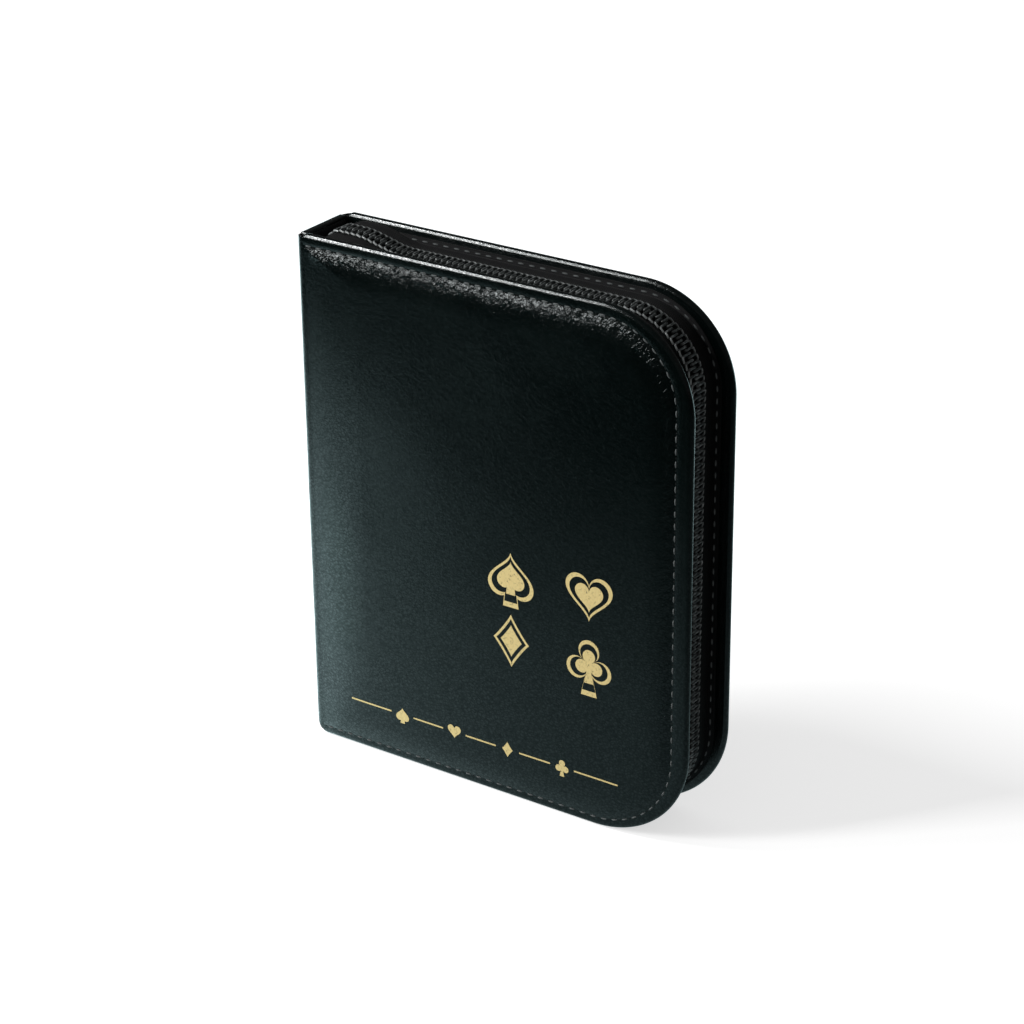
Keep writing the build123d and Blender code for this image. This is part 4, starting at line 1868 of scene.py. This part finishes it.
@dataclass
class FoilOrnament:
    """Generic card suits and a thin rule, stamped in gold foil on the front cover."""

    centre: Pair = (18.5, 54.5)
    pip: float = 14.0
    step: Pair = (23.0, 18.0)
    rule_left: float = -44.0
    rule_right: float = 38.5
    rule_height: float = 14.2
    rule_pip: float = 4.2
    rule_thickness: float = 0.42
    foil: float = 0.05
    points: int = 96

    def reach(self, suit: Suit, angles: np.ndarray) -> np.ndarray:
        """Distance from a suit's middle to its outline, for a suit of height about 1.

        Args:
            suit: the suit.
            angles: directions in radians.

        Returns:
            The distances.
        """
        cos, sin = np.cos(angles), np.sin(angles)
        if suit is Suit.DIAMOND:
            return ((np.abs(cos) / 0.38) ** 0.92 + (np.abs(sin) / 0.52) ** 0.92) ** (-1 / 0.92)
        if suit is Suit.CLUB:
            shape = np.zeros(len(angles))
            for x, z in ((0.0, 0.26), (-0.25, -0.10), (0.25, -0.10)):
                ahead = x * cos + z * sin
                inside = ahead**2 - x**2 - z**2 + 0.215**2
                shape = np.maximum(shape, np.where(inside > 0, ahead + np.sqrt(np.maximum(inside, 0)), 0))
            return np.maximum(np.maximum(shape, 0.12), self.stem(angles))
        flip = -1.0 if suit is Suit.SPADE else 1.0
        t = np.linspace(0, 2 * math.pi, 400)
        x = 16 * np.sin(t) ** 3
        z = flip * (13 * np.cos(t) - 5 * np.cos(2 * t) - 2 * np.cos(3 * t) - np.cos(4 * t) + 2.5)
        around = np.unwrap(np.arctan2(z, x))
        order = np.argsort(around % (2 * math.pi))
        sizes = np.hypot(x, z)[order] / 33.0
        shape = np.interp(angles % (2 * math.pi), (around % (2 * math.pi))[order], sizes, period=2 * math.pi)
        return np.maximum(shape, self.stem(angles)) if suit is Suit.SPADE else shape

    def stem(self, angles: np.ndarray) -> np.ndarray:
        """Distance to the foot of a suit's stem, 0 beside it."""
        down = np.cos(angles + math.pi / 2)
        return np.where(down > math.cos(0.30), 0.62 / np.maximum(down, 0.5), 0.0)

    def build_pip(self, suit: Suit, centre: Pair, height: float, hollow: bool) -> Piece:
        """A suit as flat foil.

        Args:
            suit: the suit.
            centre: its middle, across and up.
            height: its height.
            hollow: True for an outline with a small suit inside it.

        Returns:
            The flat piece, in front of the cover.
        """
        angles = np.linspace(0, 2 * math.pi, self.points, endpoint=False) + math.pi / 2
        ways = np.stack([np.cos(angles), np.sin(angles)], -1)
        edge = self.reach(suit, angles)[:, None] * ways * height
        bands = ((1.0, 0.84), (0.60, 0.3, 0.02)) if hollow else ((1.0, 0.6, 0.3, 0.02),)
        pieces = []
        for band in bands:
            item = added("pip", bpy.ops.mesh.primitive_circle_add, vertices=self.points, radius=0.01)
            with editing(item):
                for number, share in enumerate(band):
                    if number:
                        bpy.ops.mesh.extrude_region_move()
                    with sculpting(item) as mesh:
                        chosen = [vertex for vertex in mesh.verts if vertex.select]
                        for vertex, spot in zip(chosen, edge * share):
                            vertex.co = ((centre[0] + spot[0]) * MM, -0.02, (centre[1] + spot[1]) * MM)
            pieces.append(item)
        return joined("pip", *pieces)

    def build_rule(self, left: float, right: float, height: float) -> Piece:
        """A thin straight rule as flat foil, in front of the cover."""
        item = added(
            "rule",
            bpy.ops.mesh.primitive_grid_add,
            x_subdivisions=max(2, round(right - left)),
            y_subdivisions=1,
            size=1.0,
        )
        spots = vertices(item) * MM
        x = left + (spots[:, 0] + 0.5) * (right - left)
        z = height + spots[:, 1] * self.rule_thickness
        set_vertices(item, np.stack([x, np.full(len(x), -20.0), z], -1))
        return item

    def build(self, cover: Piece, wardrobe: Wardrobe) -> Piece:
        """Builds the ornament on a cover.

        Args:
            cover: the leatherette that it is stamped on.
            wardrobe: the finishes.

        Returns:
            The foil.
        """
        (x, z), (across, up) = self.centre, self.step
        suits = (Suit.SPADE, Suit.HEART, Suit.DIAMOND, Suit.CLUB)
        pieces = []
        for number, suit in enumerate(suits):
            spot = (x + (number % 2 - 0.5) * across, z - (number // 2 - 0.5) * up)
            pieces.append(self.build_pip(suit, spot, self.pip, True))
        length = self.rule_right - self.rule_left
        parts = len(suits) + 1
        for number, suit in enumerate(suits, 1):
            start = self.rule_left + length * number / parts
            pieces.append(self.build_pip(suit, (start, self.rule_height), self.rule_pip, False))
        margin = self.rule_pip * 0.85
        for number in range(parts):
            start = self.rule_left + length * number / parts
            left = start + (margin if number else 0)
            right = start + length / parts - (margin if number < parts - 1 else 0)
            pieces.append(self.build_rule(left, right, self.rule_height))
        item = joined("gold_suits", *pieces)
        with editing(item):
            bpy.ops.mesh.select_all(action="SELECT")
            bpy.ops.mesh.remove_doubles(threshold=1e-7)
        finished(
            item,
            "SHRINKWRAP",
            target=cover,
            wrap_method="PROJECT",
            use_project_y=True,
            use_positive_direction=True,
            use_negative_direction=False,
        )
        finished(item, "SOLIDIFY", thickness=self.foil * MM, offset=0.0)
        tidy_normals(item)
        smooth(item, 30)
        return handed_in(item, "front_half", wardrobe.foil)


@dataclass
class Studio:
    """Camera, floor, backdrop and soft lights."""

    camera_place: Triple = (0.3744, -0.5416, 0.3800)
    yaw: float = 34.68
    pitch: float = 24.89
    roll: float = -0.60
    focal_pixels: float = 2924.0
    floor_colour: Triple = (0.80, 0.80, 0.80)
    # Teal glow that the floor shows only to glossy rays: a painted reflection, brightest on the left and
    # fading to the right and farther off.
    mirror_colour: Triple = (0.70, 0.97, 1.0)
    mirror_level: float = 1.60
    mirror_fall: Pair = (0.18, 0.9)
    mirror_edge: float = 36.0
    mirror_depth: float = 300.0
    mirror_reach: Pair = (130.0, 360.0)
    glow: float = 0.62
    lit: float = 0.26
    gloss: float = 0.06

    def build_camera(self) -> None:
        """Camera at the photograph's angle."""
        data = bpy.data.cameras.new("camera")
        data.sensor_width = 36.0
        data.lens = self.focal_pixels / 1024 * 36
        data.clip_start, data.clip_end = 0.01, 20
        yaw, pitch, roll = (math.radians(angle) for angle in (self.yaw, self.pitch, self.roll))
        forward = Vector(
            (-math.sin(yaw) * math.cos(pitch), math.cos(yaw) * math.cos(pitch), -math.sin(pitch))
        )
        level = Vector((math.cos(yaw), math.sin(yaw), 0))
        upright = level.cross(forward)
        right = level * math.cos(roll) + upright * math.sin(roll)
        up = -level * math.sin(roll) + upright * math.cos(roll)
        camera = bpy.data.objects.new("camera", data)
        turn = Matrix((right, up, -forward)).transposed().to_4x4()
        camera.matrix_world = Matrix.Translation(self.camera_place) @ turn
        bpy.context.collection.objects.link(camera)
        bpy.context.scene.camera = camera

    def build_floor(self) -> None:
        """Plain pale floor: white to the camera, with the case's shadow.

        To the case's gloss it glows as a painted reflection in a teal tint: bright on the left, darker to
        the right and farther off.
        """
        floor = added("floor", bpy.ops.mesh.primitive_plane_add, size=6.0, location=(0, 0, -0.0002))
        placed(floor)
        g = Graph("floor")
        ray = g.node("ShaderNodeLightPath", {}, {})
        seen = Value(g, ray.outputs["Is Camera Ray"])
        mirrored = Value(g, ray.outputs["Is Glossy Ray"]).most(Value(g, ray.outputs["Is Transmission Ray"]))
        x, y, _ = g.parts(g.place())
        ahead = x * -0.59 - y * 0.81
        right = (x * 0.81 - y * 0.59 + self.mirror_edge).most(0.0) ** 0.5
        near, far = self.mirror_fall
        fall = (ahead.most(0.0) / self.mirror_depth) ** 3.0 * far + near
        level = (right * fall * -1.0).exponential() * ahead.ramp(*self.mirror_reach, self.mirror_level, 0.0)
        matt = g.node("ShaderNodeBsdfDiffuse", {}, {"Color": self.floor_colour})
        glow = g.node("ShaderNodeEmission", {}, {"Color": (1, 1, 1), "Strength": self.glow})
        # Painted reflection: an emission that only glossy and transmission rays see on the floor.
        painted_reflection = g.node("ShaderNodeEmission", {}, {"Color": self.mirror_colour, "Strength": level})
        both = g.node("ShaderNodeAddShader", {}, {0: matt.outputs[0], 1: glow.outputs[0]})
        gloss = g.node("ShaderNodeMixShader", {}, {0: mirrored, 1: matt.outputs[0], 2: painted_reflection.outputs[0]})
        mix = g.node("ShaderNodeMixShader", {}, {0: seen, 1: gloss.outputs[0], 2: both.outputs[0]})
        g.node("ShaderNodeOutputMaterial", {}, {"Surface": mix.outputs[0]})
        dressed(floor, g.material)

    def build_world(self) -> None:
        """White surroundings for the camera, dim ones for the gloss and plain ones for the light."""
        world = bpy.data.worlds.new("surroundings")
        bpy.context.scene.world = world
        world.use_nodes = True
        tree = world.node_tree
        tree.nodes.clear()
        ray = tree.nodes.new("ShaderNodeLightPath")
        last = None
        for strength, output in ((self.lit, None), (self.gloss, "Is Glossy Ray"), (1.0, "Is Camera Ray")):
            shade = tree.nodes.new("ShaderNodeBackground")
            shade.inputs["Color"].default_value = (1, 1, 1, 1)
            shade.inputs["Strength"].default_value = strength
            if output:
                mix = tree.nodes.new("ShaderNodeMixShader")
                tree.links.new(ray.outputs[output], mix.inputs[0])
                tree.links.new(last.outputs[0], mix.inputs[1])
                tree.links.new(shade.outputs[0], mix.inputs[2])
                shade = mix
            last = shade
        out = tree.nodes.new("ShaderNodeOutputWorld")
        tree.links.new(last.outputs[0], out.inputs[0])

    def lamp(self, name: str, spot: Triple, size: Pair, power: float, roll: float = 0.0) -> None:
        """A soft box that looks at the case.

        Args:
            name: name of the lamp.
            spot: its place in metres.
            size: its width and height in metres.
            power: its power in watts.
            roll: its turn about the line to the case, in degrees.
        """
        data = bpy.data.lights.new(name, "AREA")
        data.shape = "RECTANGLE"
        data.size, data.size_y = size
        data.energy = power
        lamp = bpy.data.objects.new(name, data)
        towards = Vector((0, 0, 0.07)) - Vector(spot)
        aim = towards.to_track_quat("-Z", "Y").to_matrix().to_4x4()
        lamp.matrix_world = Matrix.Translation(spot) @ aim @ Matrix.Rotation(math.radians(roll), 4, "Z")
        bpy.context.collection.objects.link(lamp)

    def build(self) -> None:
        """Builds the camera, the floor, the surroundings and the lamps."""
        bpy.context.scene.view_settings.view_transform = "Standard"
        self.build_camera()
        self.build_floor()
        self.build_world()
        self.lamp("left_box", (-0.72, -0.88, 0.60), (0.22, 0.48), 9.4)
        self.lamp("rim_strip", (-0.66, -0.42, 0.88), (0.30, 0.155), 7.4, -39)
        log.info("studio ready")


@dataclass
class ZipHardware:
    """Cast slider, crown and pull, and the clipped stops, with their edges worn round."""

    edges: tuple[tuple[str, str, float], ...] = (
        ("slider_body", "slider", 0.16),
        ("slider_crown", "slider", 0.16),
        ("pull_tab", "pull", 0.20),
        ("front_end_stop", "front_half", 0.10),
        ("back_end_stop", "back_half", 0.10),
    )

    def build(self, wardrobe: Wardrobe) -> None:
        """Replaces each CAD node by a copy with rounded edges."""
        for node, body, width in self.edges:
            item = bpy.data.objects.new(f"{node}_cast", frame["nodes"][node].data.copy())
            bpy.context.collection.objects.link(item)
            item.data.name = item.name
            tidy_normals(item)
            with editing(item):
                bpy.ops.mesh.select_all(action="SELECT")
                bpy.ops.mesh.dissolve_limited(angle_limit=math.radians(1))
            finished(
                item,
                "BEVEL",
                width=width * MM,
                segments=3,
                limit_method="ANGLE",
                angle_limit=math.radians(35),
            )
            smooth(item, 45)
            handed_in(item, body, wardrobe.metal, [node])


def dress_frame(wardrobe: Wardrobe) -> None:
    """Gives the CAD nodes that stay their finishes."""
    nodes = frame["nodes"]
    for name in ("front_board", "back_board"):
        dressed(nodes[name], wardrobe.board)
    dressed(nodes["card_tray"], wardrobe.tray)
    log.info("frame dressed")


def main() -> None:
    """Builds the case piece by piece."""
    logging.basicConfig(level=logging.INFO, format="%(name)s %(message)s")
    case = Case()
    wardrobe = Wardrobe()
    Studio().build()
    for side in Side:
        cover = PaddedCover(case, side).build(wardrobe)
        if side is Side.FRONT:
            FoilOrnament().build(cover, wardrobe)
    ZipHalf(case, Side.FRONT, 0.0).build(wardrobe)
    ZipHalf(case, Side.BACK, 0.5).build(wardrobe)
    SpineStrip(case).build(wardrobe)
    CardDeck("lower_cards", "lower_deck", (0.36, 0.018, 0.020), (-2.0, 39.25)).build()
    CardDeck("upper_cards", "upper_deck", (0.018, 0.05, 0.26), (-2.0, 101.75)).build()
    ZipHardware().build(wardrobe)
    dress_frame(wardrobe)


if __name__ == "__main__":
    main()
